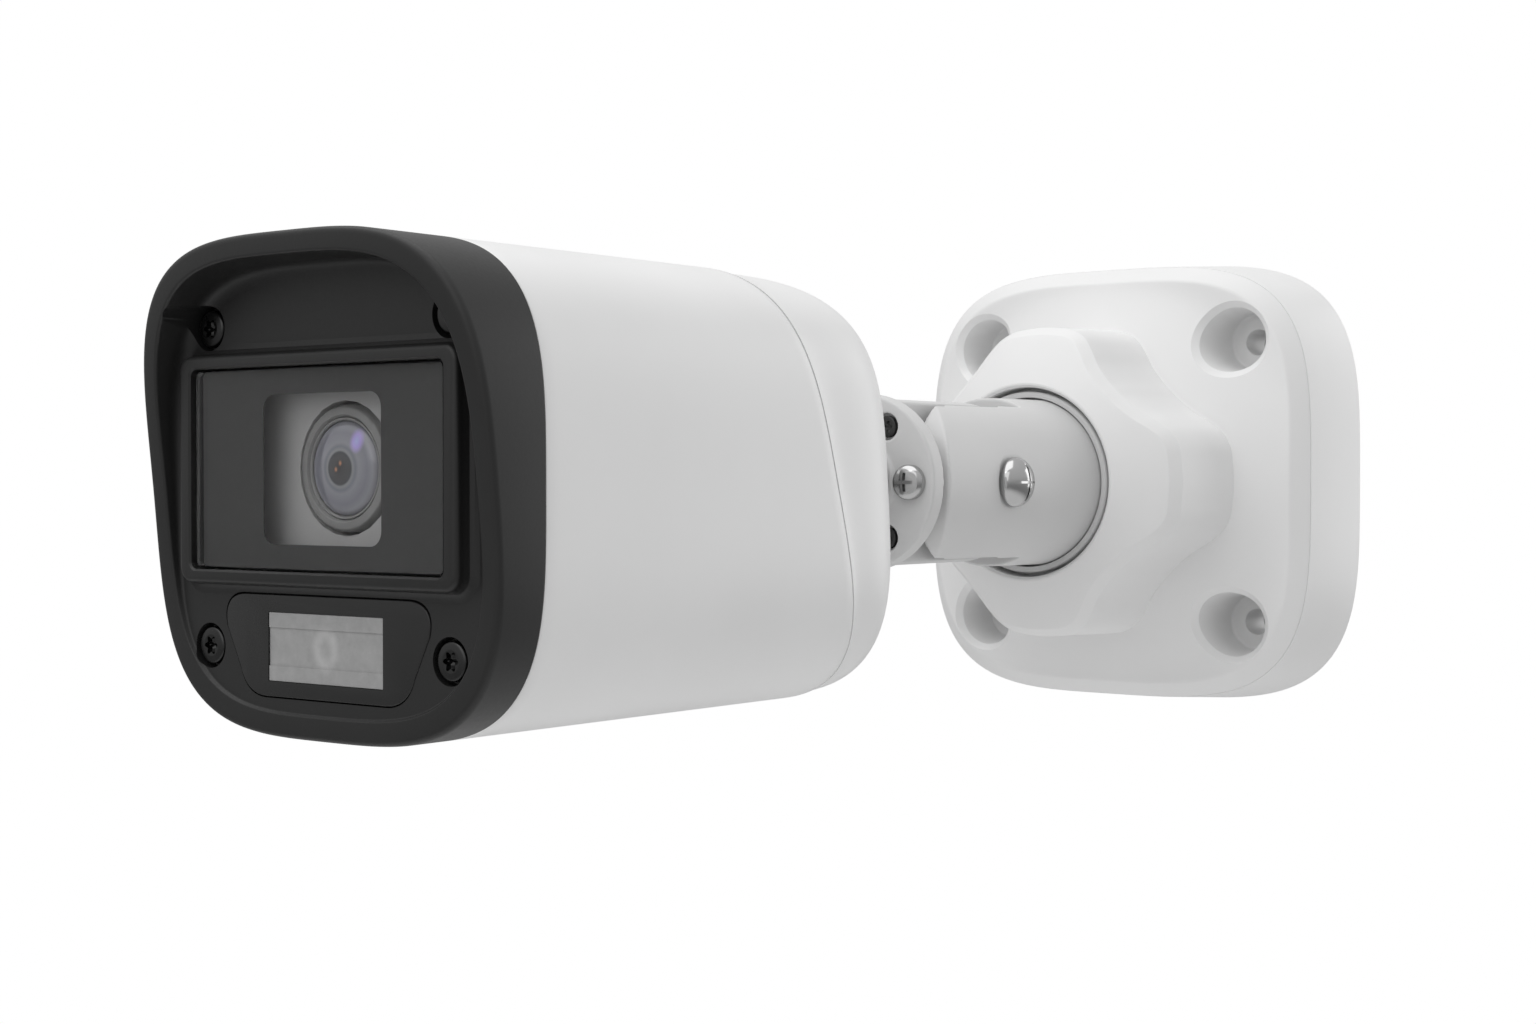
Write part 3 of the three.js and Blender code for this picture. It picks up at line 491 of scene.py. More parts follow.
def lens_material(name):
    """Milky coated glass with inner rings and a dark middle; a purple-blue painted reflection to one side and
    two small orange painted glints near the middle are added to its colour.
    """
    n = Nodes(name)
    flat = (1, 0, 1)
    radius = n.math("DIVIDE", centred(n, (LENS.x, 0, LENS.z), flat), 4.8)
    rings = n.ramp(
        radius,
        [
            (0.0, (0.05, 0.045, 0.04)),
            (0.26, (0.08, 0.08, 0.075)),
            (0.32, (0.06, 0.065, 0.065)),
            (0.37, (0.40, 0.42, 0.40)),
            (0.44, (0.28, 0.30, 0.31)),
            (0.52, (0.42, 0.43, 0.44)),
            (0.72, (0.34, 0.35, 0.37)),
            (0.84, (0.44, 0.45, 0.46)),
            (1.0, (0.22, 0.22, 0.22)),
        ],
    )
    # Painted highlight: a purple-blue reflection spot added to the colour above and to one side of the lens
    # centre.
    highlight_distance = centred(n, (LENS.x + 2.1, 0, LENS.z + 2.6), (1.5, 0, 1.1))
    violet_painted_highlight = n.ramp(
        n.math("DIVIDE", highlight_distance, 2),
        [(0.0, (0.45, 0.5, 1.0)), (0.35, (0.4, 0.22, 0.85)), (0.7, (0, 0, 0))],
    )
    # Painted glints: two small orange reflection spots added to the colour near the lens centre.
    glint_distance = n.math("MINIMUM", centred(n, (LENS.x + 0.1, 0, LENS.z + 0.5), (2.4, 0, 1.8)),
                   centred(n, (LENS.x - 0.5, 0, LENS.z - 0.1), (2.4, 0, 2)))
    amber_painted_glints = n.ramp(n.math("DIVIDE", glint_distance, 2), [(0.0, (1.0, 0.42, 0.14)), (0.3, (0, 0, 0))])
    total = rings
    for extra in (violet_painted_highlight, amber_painted_glints):
        mix = n.add("ShaderNodeMix", data_type="RGBA", blend_type="ADD")
        mix.inputs["Factor"].default_value = 0.8
        n.link(total, mix.inputs["A"])
        n.link(extra, mix.inputs["B"])
        total = mix.outputs["Result"]
    n.colour(total)
    n.rough(n.spread(n.noise(400), 0.03, 0.07))
    n.set(Coat_Weight=1.0, Coat_Roughness=0.02, Coat_Tint=(0.93, 0.92, 1.0, 1))
    return n.material


def led_material(name, centre):
    """Frosted light window: two brighter bands, and the ring of the lamp behind it."""
    n = Nodes(name)
    ring = n.math("ABSOLUTE", n.math("SUBTRACT", centred(n, (centre.x, 0, centre.z), (1, 0, 0.85)), 1.25))
    glow = n.ramp(n.math("DIVIDE", ring, 2), [(0.0, grey(0.10)), (0.5, grey(0.0))], "EASE")
    frost = n.ramp(n.noise(700, 6, 0.65), [(0.3, grey(0.33)), (0.7, grey(0.40))])
    mix = n.add("ShaderNodeMix", data_type="RGBA", blend_type="ADD")
    mix.inputs["Factor"].default_value = 1.0
    n.link(frost, mix.inputs["A"])
    n.link(glow, mix.inputs["B"])
    n.colour(mix.outputs["Result"])
    n.rough(n.spread(n.noise(1500), 0.3, 0.42))
    n.bump(n.noise(1800, 4, 0.7), 0.15, 0.00002)
    n.set(Coat_Weight=0.3, Coat_Roughness=0.2)
    return n.material


def glass_material(name):
    """Clear window glass, a little tinted, with the faintest wipe marks in its gloss."""
    n = Nodes(name)
    n.rough(n.spread(n.noise(60, 5, 0.6, (1, 1, 4)), 0.0, 0.008))
    n.colour(n.ramp(n.noise(30), [(0.3, grey(0.93)), (0.7, grey(0.97))]))
    n.set(Transmission_Weight=1.0, IOR=1.25, Specular_IOR_Level=0.3)
    return n.material


WHITE_SHELL = moulded("white_shell_paint", grey(0.86), 0.36, grain=3200, strength=0.16, mottle=0.012)
WHITE_CAST = moulded("white_powder_coat", grey(0.86), 0.42, grain=2200, strength=0.28, mottle=0.015)
# The arm, pan ring and knuckle are coloured a darker grey (0.66) than the base's white (0.86).
GREY_CAST = moulded("bracket_darker_grey", grey(0.66), 0.42, grain=2200, strength=0.28, mottle=0.02)
BLACK = moulded("black_moulding", grey(0.011), 0.46, grain=2800, strength=0.35, mottle=0.15)
SMOKED = moulded("smoked_cover", grey(0.016), 0.3, grain=3600, strength=0.12, mottle=0.1)
MASK = moulded("mask_print", grey(0.05), 0.6, grain=4000, strength=0.02, mottle=0.03)
SHROUD = moulded("lens_shroud_plastic", grey(0.55), 0.7, grain=2600, strength=0.2, mottle=0.04)
BARREL = moulded("lens_barrel_grey", grey(0.34), 0.45, grain=3000, strength=0.2, mottle=0.1)
RUBBER = moulded("rubber", grey(0.012), 0.75, grain=1500, strength=0.5, depth=0.00004, mottle=0.2)
NYLON = moulded("nylon", (0.72, 0.70, 0.64), 0.45, grain=1800, strength=0.2)
CHROME = metal("bright_steel", grey(0.5), 0.14, scale=500)
DARK_STEEL = metal("dark_steel", grey(0.06), 0.3, scale=1200)
ALUMINIUM = metal("aluminium", grey(0.6), 0.35, streak=(1, 12, 1), scale=1000)
BOARD = board_material("solder_mask")
LENS_GLASS = lens_material("coated_lens_painted_highlights")
GLASS = glass_material("window_glass_clear")


# ---- base ------------------------------------------------------------------------------------------


def dome_y(r):
    """The cover's face at a distance from the pan axis: a dome that eases out into flat corners."""
    lift = (DOME_RISE - DOME_CURVE * r * r) / DOME_EASE
    return FACE_LEVEL - DOME_EASE * math.log1p(math.exp(lift))


def crown_y(r):
    return BOSS_FRONT + CROWN_CURVE * max(0, r * r - CROWN_FLAT ** 2)


def through_points(points, steps):
    """A smooth closed curve through the points."""
    p = np.array(points, float)
    a, b, c, d = np.roll(p, 1, 0), p, np.roll(p, -1, 0), np.roll(p, -2, 0)
    made = []
    for k in range(len(p)):
        for t in np.arange(steps) / steps:
            made.append(0.5 * (2 * b[k] + (c[k] - a[k]) * t + (2 * a[k] - 5 * b[k] + 4 * c[k] - d[k]) * t * t
                               + (3 * b[k] - a[k] - 3 * c[k] + d[k]) * t ** 3))
    return made


def boss_outline():
    quarter = BOSS_EIGHTH + [(z, x) for x, z in BOSS_EIGHTH[-2:0:-1]]
    outline = []
    for side in range(4):
        c, s = math.cos(side * math.pi / 2), math.sin(side * math.pi / 2)
        outline += [(x * c - z * s, x * s + z * c) for x, z in quarter]
    return through_points(outline, 6)


def lofted(name, loops):
    """A closed solid through loops of as many points each."""
    count = len(loops[0])
    faces = []
    for i in range(len(loops) - 1):
        for j in range(count):
            k = (j + 1) % count
            faces.append((i * count + j, i * count + k, (i + 1) * count + k, (i + 1) * count + j))
    faces += [tuple(range(count)), tuple((len(loops) - 1) * count + j for j in reversed(range(count)))]
    return mesh_object(name, [p for loop in loops for p in loop], faces)


def boss():
    outline = boss_outline()
    loops = [[(x, BOSS_ROOT, z) for x, z in offset_outline(outline, 0.5)]]
    for out, depth in rounded([(0.1, 5), (0, 1.15, 0.35), (-1.1, 0, 0.3), (-2, 0)]):
        loops.append([(x, crown_y(math.hypot(x, z)) + depth, z) for x, z in offset_outline(outline, out)])
    last = loops[-1]
    for part in (0.3, 0.6, 0.85, 1):
        loop = []
        for x, _, z in last:
            r = math.hypot(x, z)
            k = (r + (CROWN_FLAT - r) * part) / r
            loop.append((x * k, crown_y(r * k), z * k))
        loops.append(loop)
    return lofted("boss", loops)


def mount_hole(x, z):
    """Cutter of one counterbored hole: a chamfered mouth along the face, the bore and the screw hole."""
    def profile(angle):
        mouth = dome_y(math.hypot(x + 5.6 * math.cos(angle), z + 5.6 * math.sin(angle)))
        return rounded(
            [(0, -34), (9.6, -34), (9.6, mouth - 4), (5.6, mouth + 0.05, 0.2), (4.75, mouth + 0.9, 0.12),
             (4.25, -13),
             (4.2, -8.8, 0.4), (1.9, -8.8, 0.25), (1.9, 1), (0, 1)]
        )

    return turned("hole", profile, 2, 72, (x, z))


def cover_section(angle):
    """The cover's profile at one angle: domed face, chamfer, spigot and the inside of the dome."""
    edge = BASE_SEAM - CHAMFER
    spigot = BASE_SEAM - 2.1
    stretch = squircle_factor(angle, BASE_POWER)
    face = [(r, dome_y(r * stretch)) for r in np.linspace(0, edge, 34)]
    inner = [(r, dome_y(r * stretch) + 3) for r in np.linspace(0, 24, 16)]
    rim = rounded(
        [face[-2], (*face[-1], 1.0), (BASE_SEAM, SEAM_Y - SEAM / 2, 0.12), (spigot, SEAM_Y - SEAM / 2),
         (spigot, SEAM_Y + 3), (spigot - 1.8, SEAM_Y + 3), inner[-1]]
    )
    return face[:-2] + [tuple(p) for p in rim[:-1]] + inner[::-1]


def base_cover():
    shell = turned("base_cover", cover_section, BASE_POWER, 224)
    sleeves = [rod(6.6, SEAM_Y - 1.6, -2.5, x, z) for x in (-MOUNT_X, MOUNT_X) for z in (-MOUNT_Z, MOUNT_Z)]
    spigot = BASE_SEAM - 2.1
    inside = turned("inside", [(0, -40), (spigot, -40), (spigot, 0), (0, 0)], BASE_POWER, 224)
    combine(inside, [join(*sleeves)], "INTERSECT")
    join(shell, boss(), inside)
    lip = 0.35
    socket = rounded(
        [(0, BOSS_FRONT - 2), (SOCKET_R + 2 + lip, BOSS_FRONT - 2), (SOCKET_R + lip, BOSS_FRONT - 0.01),
         (SOCKET_R, BOSS_FRONT + lip), (SOCKET_R, SOCKET_FLOOR, 0.4), (10.8, SOCKET_FLOOR), (10.8, -31.5),
         (14.5, -31.5), (14.5, -10), (0, -10)]
    )
    holes = [mount_hole(x, z) for x in (-MOUNT_X, MOUNT_X) for z in (-MOUNT_Z, MOUNT_Z)]
    cut(shell, turned("socket", socket, 2, 128), *holes)
    place(shell, "base_cover_casting", "base", WHITE_CAST, ["base_cover"], sharp=18)


def base_skirt():
    inside = BASE_SEAM - 2.1 + 0.3
    profile = rounded(
        [(BASE_BACK, 0, 0.3), (BASE_SEAM, SEAM_Y + SEAM / 2, 0.12), (inside, SEAM_Y + SEAM / 2),
         (inside + 0.4, 0)],
        closed=True,
    )
    skirt = turned("skirt", profile, BASE_POWER, 224, closed=True)
    place(skirt, "base_skirt_casting", "base", WHITE_CAST, ["base_skirt"], sharp=28)


# ---- arm and knuckle -------------------------------------------------------------------------------

arm_low, arm_high = box_mm("arm")
ARM_REAR_R = arm_high.x
EAR_CENTRE = -66.4
ARM_FRONT_R = EAR_CENTRE - arm_low.y - 0.3
RING_LOW, RING_HIGH = box_mm("pan_ring")


def slab_outline(centre, radius, end):
    """Outline in Y and Z with one round end, as (y, z) pairs that run anticlockwise."""
    if end > centre:
        return [(end, -radius), (end, radius)] + arc(centre, 0, radius, 90, 270, 64)
    return [(end, radius), (end, -radius)] + arc(centre, 0, radius, -90, 90, 64)


def slab(outline, x0, x1, edge=0.3):
    """The outline extruded along X, with its edges rounded."""
    made = stacked("slab", outline, edge_levels(x0, x1, edge, edge))
    swap = Matrix(((0, 1, 0, 0), (1, 0, 0, 0), (0, 0, 1, 0), (0, 0, 0, 1)))
    turn_object(made, swap)
    return cleaned(made)


def rod_x(radius, x0, x1, y, z=0, segments=48):
    made = turned("rod", [(0, -x1), (radius, -x1), (radius, -x0), (0, -x0)], 2, segments)
    return along_x(made, y, z)


def arm():
    profile = rounded(
        [(0, EAR_CENTRE - 12), (ARM_FRONT_R, EAR_CENTRE - 12), (ARM_REAR_R, SOCKET_FLOOR - 0.3),
         (9.2, SOCKET_FLOOR - 0.3), (9.2, -30.6), (0, -30.6)]
    )
    tube = turned("arm", profile, 2, 128)
    combine(tube, [slab(slab_outline(EAR_CENTRE, ARM_FRONT_R + 0.3, 0), -20, 20)], "INTERSECT")
    cut(
        tube,
        block(-5.5, 5.5, -90, -51.2, -20, 20),
        rod_x(2.2, -20, 20, TILT_Y),
        rod_x(3.8, ARM_FRONT_R - 0.3, 20, TILT_Y),
        rod_x(4.1, -20, -8, TILT_Y, 0, 6),
        rod(3.4, -60, 0),
    )
    softened(tube, 0.22, 3)
    place(tube, "arm_casting", "arm", GREY_CAST, ["arm"], sharp=80)


def pan_ring():
    inner = ARM_REAR_R + 0.12
    profile = rounded(
        [(inner, RING_LOW.y, 0.15), (RING_HIGH.x, RING_LOW.y, 0.45), (RING_HIGH.x, RING_HIGH.y),
         (inner, RING_HIGH.y)],
        closed=True,
    )
    ring = turned("ring", profile, 2, 128, closed=True)
    place(ring, "pan_ring_turned", "arm", GREY_CAST, ["pan_ring"])


def dome_profile(radius, rise, top, seat, shank, tip):
    """A dome-headed screw whose head's top is at y = top and whose seat is at y = seat."""
    crown = [(radius * math.sin(t), top + rise * (1 - math.cos(t))) for t in np.linspace(0, math.pi / 2, 14)]
    return crown + [(radius, seat), (shank, seat), (shank, tip - shank * 0.5), (0, tip)]


def tilt_screw():
    low, high = box_mm("tilt_screw")
    radius = (high.z - low.z) / 2
    seat = ARM_FRONT_R
    screw = turned("screw", dome_profile(radius, 2.3, -high.x, -seat, 1.9, -low.x), 2, 64)
    cut(screw, block(-0.16, 0.16, -high.x - 1, -high.x + 0.75, -2.7, 2.7),
        block(-2.7, 2.7, -high.x - 1, -high.x + 0.75, -0.16, 0.16))
    along_x(screw, TILT_Y)
    place(screw, "tilt_screw_dome", "arm", CHROME, ["tilt_screw"], sharp=40)


def lobed(radius, waist, lobes=6, steps=72):
    mean, swing = (radius + waist) / 2, (radius - waist) / 2
    angles = [k * FULL_TURN / steps for k in range(steps)]
    radii = [mean + swing * math.cos(lobes * a) for a in angles]
    return [(r * math.cos(a), r * math.sin(a)) for r, a in zip(radii, angles)]


def lobe_cutter(x, z, front, depth, radius):
    outline = [(x + a, z + b) for a, b in lobed(radius, radius * 0.66)]
    levels = [(0, front - 1), (0, front + depth * 0.7), (-radius * 0.3, front + depth)]
    return stacked("drive", outline, levels)


DISC_FRONT = -81.7
DISC_REAR = -79.3
DISC_R = box_mm("knuckle")[1].x
HUB_R = 5.4
RECESSED = [(8.2 * math.cos(math.radians(a)), 8.2 * math.sin(math.radians(a))) for a in (60, 120, 240, 300)]


def knuckle():
    hub_front = box_mm("knuckle")[0].y
    profile = rounded(
        [(0, hub_front), (HUB_R, hub_front, 0.3), (HUB_R, DISC_FRONT), (DISC_R, DISC_FRONT, 0.35),
         (DISC_R, DISC_REAR), (0, DISC_REAR)]
    )
    disc = turned("disc", profile, 2, 128)
    tongue = slab(slab_outline(TILT_Y, 10.7, DISC_REAR - 1), -4.4, 4.4, 0.35)
    combine(tongue, [rod(ARM_FRONT_R - 0.2, -90, -40, segments=128)], "INTERSECT")
    join(disc, tongue)
    pockets = []
    for level in (9.6, -11.2):
        outline = [(x, z - 72.4) for x, z in rect_outline(-2.4, 2.4, -4.6, 4.6, 2.35)]
        pocket = stacked("pocket", outline, edge_levels(level, level + 3, 0.3, 0.3))
        turn_object(pocket, Matrix(((1, 0, 0, 0), (0, 0, 1, 0), (0, 1, 0, 0), (0, 0, 0, 1))))
        pockets.append(cleaned(pocket))
    sinks = [rod(1.75, -90, -80.7, x, z, 32) for x, z in RECESSED]
    cut(disc, rod_x(2.2, -20, 20, TILT_Y), rod(3.3, -90, -75), *sinks, *pockets)
    softened(disc, 0.17, 2)
    place(disc, "knuckle_casting", "knuckle", GREY_CAST, ["knuckle"], sharp=80)


def knuckle_screws():
    for side, sign in (("right", 1), ("left", -1)):
        node = f"knuckle_dome_screw_{side}"
        low, high = box_mm(node)
        x, radius = sign * 7.9, (high.x - low.x) / 2
        head = low.y
        profile = dome_profile(radius, 1.0, head, DISC_FRONT - 0.05, 0.9, high.y)
        screw = turned("screw", profile, 2, 48, (x, 0))
        cross = [block(x - a, x + a, head - 1, head + 0.9, -b, b) for a, b in ((0.22, 1.2), (1.2, 0.22))]
        cut(screw, join(*cross))
        place(screw, f"{node}_turned", "knuckle", CHROME, [node], sharp=40)
    for (x, z), name in zip(RECESSED, ("upper_right", "upper_left", "lower_left", "lower_right")):
        node = f"knuckle_screw_{name}"
        low, high = box_mm(node)
        profile = rounded(
            [(0, low.y), (1.4, low.y, 0.25), (1.4, low.y + 0.6), (0.7, low.y + 0.6), (0.7, high.y),
             (0, high.y)]
        )
        screw = turned("screw", profile, 2, 40, (x, z))
        cut(screw, lobe_cutter(x, z, low.y, 0.5, 0.85))
        place(screw, f"{node}_turned", "knuckle", DARK_STEEL, [node], sharp=40)


def swivel_stud():
    low, high = box_mm("swivel_stud")
    front_face = box_mm("knuckle")[0].y - 0.1
    neck = NECK_END + 0.2
    profile = rounded(
        [(1.6, high.y, 0.2), (3, high.y, 0.3), (3, front_face), (4.9, front_face, 0.7), (4.9, neck, 0.7),
         (3, neck), (3, low.y, 0.4), (1.6, low.y)],
        closed=True,
    )
    stud = turned("stud", profile, 2, 64, closed=True)
    place(stud, "swivel_stud_turned", "knuckle", CHROME, ["swivel_stud"], sharp=40)


# ---- camera shell ----------------------------------------------------------------------------------



def smooth_step(value, low, high):
    t = min(1, max(0, (value - low) / (high - low)))
    return t * t * (3 - 2 * t)


def lean_housing(y, z):
    return y - CREASE_SLANT * smooth_step(y, HOOD_BACK + 15, CREASE_Y - 1) * z


def lean_rear(y, z):
    t = min(1, max(0, 1 - (y - CREASE_Y) / REAR_LENGTH))
    return y - CREASE_SLANT * t * z


BODY_CENTRE = (0, BODY_Z)


def housing():
    front, rear = HOOD_BACK + SEAM, CREASE_Y
    outer = [(BODY_R, y) for y in np.linspace(front + 0.4, rear - 0.3, 40)]
    inner = [(BODY_R - WALL, rear), (BODY_R - WALL, front)]
    profile = [(BODY_R - 0.12, front)] + outer + [(BODY_R - 0.1, rear)] + inner
    shell = turned("housing", profile, BODY_POWER, 224, BODY_CENTRE, True, lean_housing)
    place(shell, "housing_shell", "camera", WHITE_SHELL, ["housing"], sharp=28)


def rear_radius(u):
    dome = BODY_R * (1 - u ** 3.6) ** (1 / 3.6)
    cove = 0.42 * (1 - math.exp(-u * REAR_LENGTH / 1.3)) * (1 - u)
    return dome - cove


def rear_cover():
    start = CREASE_Y + SEAM
    length = REAR_LENGTH
    dome = [(rear_radius(u), start + u * length) for u in 1 - (1 - np.linspace(0, 1, 56)) ** 2]
    lip = BODY_R - WALL - 0.3
    inner = [(lip, start), (lip, start - 3), (lip - 1.6, start - 3), (lip - 1.6, start + 8),
             (lip - 6, start + 14), (0, start + 15.4)]
    shell = turned("rear", dome[::-1] + inner, BODY_POWER, 224, BODY_CENTRE, False, lean_rear)
    root = CREASE_Y + REAR_LENGTH
    neck = turned(
        "neck",
        rounded([(0, root - 2), (13, root - 1.6), (11, root - 0.2, 3), (8.8, root + 2.6, 4),
                 (7.5, root + 7, 8),
                 (6.8, NECK_END - 0.8, 0.3), (6.1, NECK_END, 0.2), (0, NECK_END)]),
        2, 96,
    )
    join(shell, neck)
    cut(shell, rod(3.3, -115, -80))
    place(shell, "rear_cover_shell", "camera", WHITE_SHELL, ["rear_cover"], sharp=28)


# ---- front -----------------------------------------------------------------------------------------


def rim_y(z):
    t = min(1, max(0, (z + BODY_R) / (2 * BODY_R)))
    return RIM_LOW - BROW * t * t


LAND_R = 22.3  # where the cove ends and the flat land of the rim starts


def hood_section(angle):
    """The hood's profile at one angle: floor, cove, rim land, outer edge, skin and inside."""
    rim = rim_y(LAND_R * squircle_factor(angle, BODY_POWER) * math.sin(angle))
    height = FLOOR_Y - rim
    cove = min(1.7, height * 0.55)
    edge = min(0.35, height * 0.4)
    lip = BODY_R - WALL - 0.3
    front = rounded(
        [(19, FLOOR_Y), (LAND_R - 0.25, FLOOR_Y, cove), (LAND_R, rim, edge), (BODY_R, rim, 0.7),
         (BODY_R, HOOD_BACK - 0.2), (BODY_R - 0.12, HOOD_BACK)],
        steps=6,
    )
    inside = [(lip, HOOD_BACK), (lip, HOOD_BACK + 2), (lip - 1.5, HOOD_BACK + 2), (lip - 1.5, FLOOR_Y + 2.8),
              (0, FLOOR_Y + 2.8)]
    return [(0, FLOOR_Y), (12, FLOOR_Y)] + [tuple(p) for p in front] + inside


def glass_outline(edge, r):
    rise = edge * 0.75
    return rect_outline(glass_low.x - edge, glass_high.x + edge, glass_low.z - rise, glass_high.z + rise, r)


def led_outline(inset):
    top, bottom, side = -10.9 - inset, -21.3 + inset, 14.6 - inset
    half = [(0, bottom), (8.6, bottom)]
    half += bezier(half[-1], (10.8, bottom), (12.0, bottom + 1.2), (12.5, bottom + 2.8), 10)
    half += [(side, top - 3.4)]
    half += bezier(half[-1], (side + 0.6, top - 1.2), (side - 0.6, top), (side - 2.8, top), 10)
    return half + [(-x, z) for x, z in half[:0:-1]]


HOOD_SCREWS = {
    name: centre_mm(f"hood_screw_{name}") for name in ("top_left", "top_right", "bottom_left", "bottom_right")
}
GLASS_FRONT = glass_low.y
FRAME_FRONT = GLASS_FRONT - 0.5


SINK_R = 2.3
SHANK_HOLE_R = 1.45
SINK_DEPTH = 1.4
AHEAD = -190  # a y ahead of the hood, where its cutters start
BEHIND = -160  # a y behind the hood's floor, where they end


def hood_screw_sink(x, z):
    profile = rounded(
        [(0, AHEAD), (SINK_R + 0.05, AHEAD), (SINK_R, FLOOR_Y - 0.3), (SINK_R, FLOOR_Y + SINK_DEPTH, 0.2),
         (SHANK_HOLE_R, FLOOR_Y + SINK_DEPTH), (SHANK_HOLE_R, BEHIND), (0, BEHIND)]
    )
    return turned("sink", profile, 2, 56, (x, z))


def front_hood():
    hood = turned("hood", hood_section, BODY_POWER, 256, BODY_CENTRE)
    skirt = [(1.15, FLOOR_Y + 0.5), (1.15, FLOOR_Y - 0.001), (0.6, FLOOR_Y - 0.1), (0.22, FLOOR_Y - 0.38),
             (0.05, FLOOR_Y - 0.8)]
    frame_levels = skirt + edge_levels(FRAME_FRONT, FLOOR_Y - 1.2, 0.55)[::-1]
    surround = stacked("surround", glass_outline(2.2, 1.6), frame_levels)
    join(hood, surround)
    pocket_levels = [(0.5, -176), (0.25, FRAME_FRONT - 0.05), (0, FRAME_FRONT + 0.2), (0, -170.5)]
    pocket = stacked("pocket", glass_outline(0.4, 0.8), pocket_levels)
    through = stacked("through", glass_outline(-1.9, 1), [(0, -180), (0, -160)])
    led_sink = stacked("led_sink", led_outline(0), [(0, -180), (0, FLOOR_Y + 1.2)])
    ledge = 0.5
    led_sides = (led_low.x + ledge, led_high.x - ledge, led_low.z + ledge, led_high.z - ledge)
    led_opening = rect_outline(*led_sides, 0.3)
    led_hole = stacked("led_hole", led_opening, [(0, -180), (0, BEHIND)])
    cut(hood, pocket, through, led_sink, led_hole, *[hood_screw_sink(s.x, s.z) for s in HOOD_SCREWS.values()])
    place(hood, "front_hood_moulding", "camera", BLACK, ["front_hood"], sharp=30)


def hood_screws():
    for name, at in HOOD_SCREWS.items():
        node = f"hood_screw_{name}"
        low, high = box_mm(node)
        head = low.y
        profile = rounded(
            [(0, head + 0.12), (1.1, head, 0.3), (1.9, head + 0.12, 0.35), (1.9, head + 1.1),
             (1.1, head + 1.1), (1.1, high.y - 1), (0, high.y)]
        )
        screw = turned("screw", profile, 2, 56, (at.x, at.z))
        cut(screw, lobe_cutter(at.x, at.z, head, 0.9, 1.0))
        place(screw, f"{node}_turned", "camera", DARK_STEEL, [node], sharp=40)


def window():
    glass = stacked("glass", glass_outline(0, 0.5), edge_levels(GLASS_FRONT, glass_high.y, 0.12, 0.08))
    place(glass, "window_glass_pane", "camera", GLASS, ["window_glass"], sharp=40)
    sheet = stacked("mask", glass_outline(-0.1, 0.5), [(0, glass_high.y + 0.03), (0, glass_high.y + 0.12)])
    clear = rect_outline(-8.4, 8.4, -6.05, 8.65, 1.5)
    cut(sheet, stacked("clear", clear, [(0, -180), (0, -160)]))
    place(sheet, "window_mask_print", "camera", MASK, ["window_mask"])
    low, high = box_mm("window_gasket")
    front = glass_high.y + 0.15
    section = [(0, front), (0, high.y), (-1.5, high.y), (-1.5, front)]
    ring = stacked("gasket", glass_outline(0.05, 0.6), section, closed=True)
    place(ring, "window_gasket_ring", "camera", RUBBER, ["window_gasket"])


def led_window():
    low, high = box_mm("led_cover")
    sheet = stacked("cover", led_outline(0.14), edge_levels(low.y + 0.22, high.y, 0.12))
    opening = rect_outline(led_low.x - 0.04, led_high.x + 0.04, led_low.z - 0.04, led_high.z + 0.04, 0.15)
    cut(sheet, stacked("opening", opening, [(0, -180), (0, -160)]))
    place(sheet, "led_cover_plate", "camera", SMOKED, ["led_cover"])
    pane = stacked("diffuser", rect_outline(led_low.x, led_high.x, led_low.z, led_high.z, 0.1),
                   edge_levels(low.y + 0.28, led_high.y, 0.05))
    centre = (led_low + led_high) / 2
    middle = block(led_low.x - 1, led_high.x + 1, low.y - 1, low.y + 0.4, centre.z - 1.9, centre.z + 1.9)
    cut(pane, middle)
    frosted = led_material("frosted_window", centre)
    place(pane, "led_diffuser_pane", "camera", frosted, ["led_diffuser"])


def lens():
    f = LENS_FRONT + 0.8  # the barrel's front face
    at = (LENS.x, LENS.z)
    barrel_profile = rounded(
        [(4.95, f + 0.45, 0.1), (5.15, f + 0.1, 0.12), (5.9, f + 0.2, 0.3), (6.1, f + 0.7), (6.1, f + 4),
         (5.6, f + 4.4), (5.6, f + 15.8), (3.6, f + 15.8), (3.6, f + 3), (4.95, f + 3)],
        closed=True,
    )
    barrel = turned("barrel", barrel_profile, 2, 96, at, True)
    place(barrel, "lens_barrel_turned", "camera", BARREL, ["lens_barrel"])
    ring_profile = rounded(
        [(4.6, f + 0.45, 0.05), (4.7, f + 0.3, 0.05), (4.85, f + 0.3, 0.05), (4.9, f + 1.4), (4.2, f + 1.4),
         (4.2, f + 0.9), (4.6, f + 0.9)],
        closed=True,
    )
    ring = turned("ring", ring_profile, 2, 96, at, True)
    place(ring, "lens_retaining_ring_turned", "camera", BARREL, ["lens_retaining_ring"])
    radius, bulge, seat = 4.5, 0.9, f + 0.6
    crown = [(radius * math.sin(t), seat - bulge * math.cos(t)) for t in np.linspace(0, math.pi / 2, 24)]
    glass = turned("element", crown + [(0, seat)], 2, 96, at)
    covered = ["lens_front_element"]
    place(glass, "lens_front_element_glass", "camera", LENS_GLASS, covered, sharp=40)


# ---- nodes whose CAD shape stays -------------------------------------------------------------------

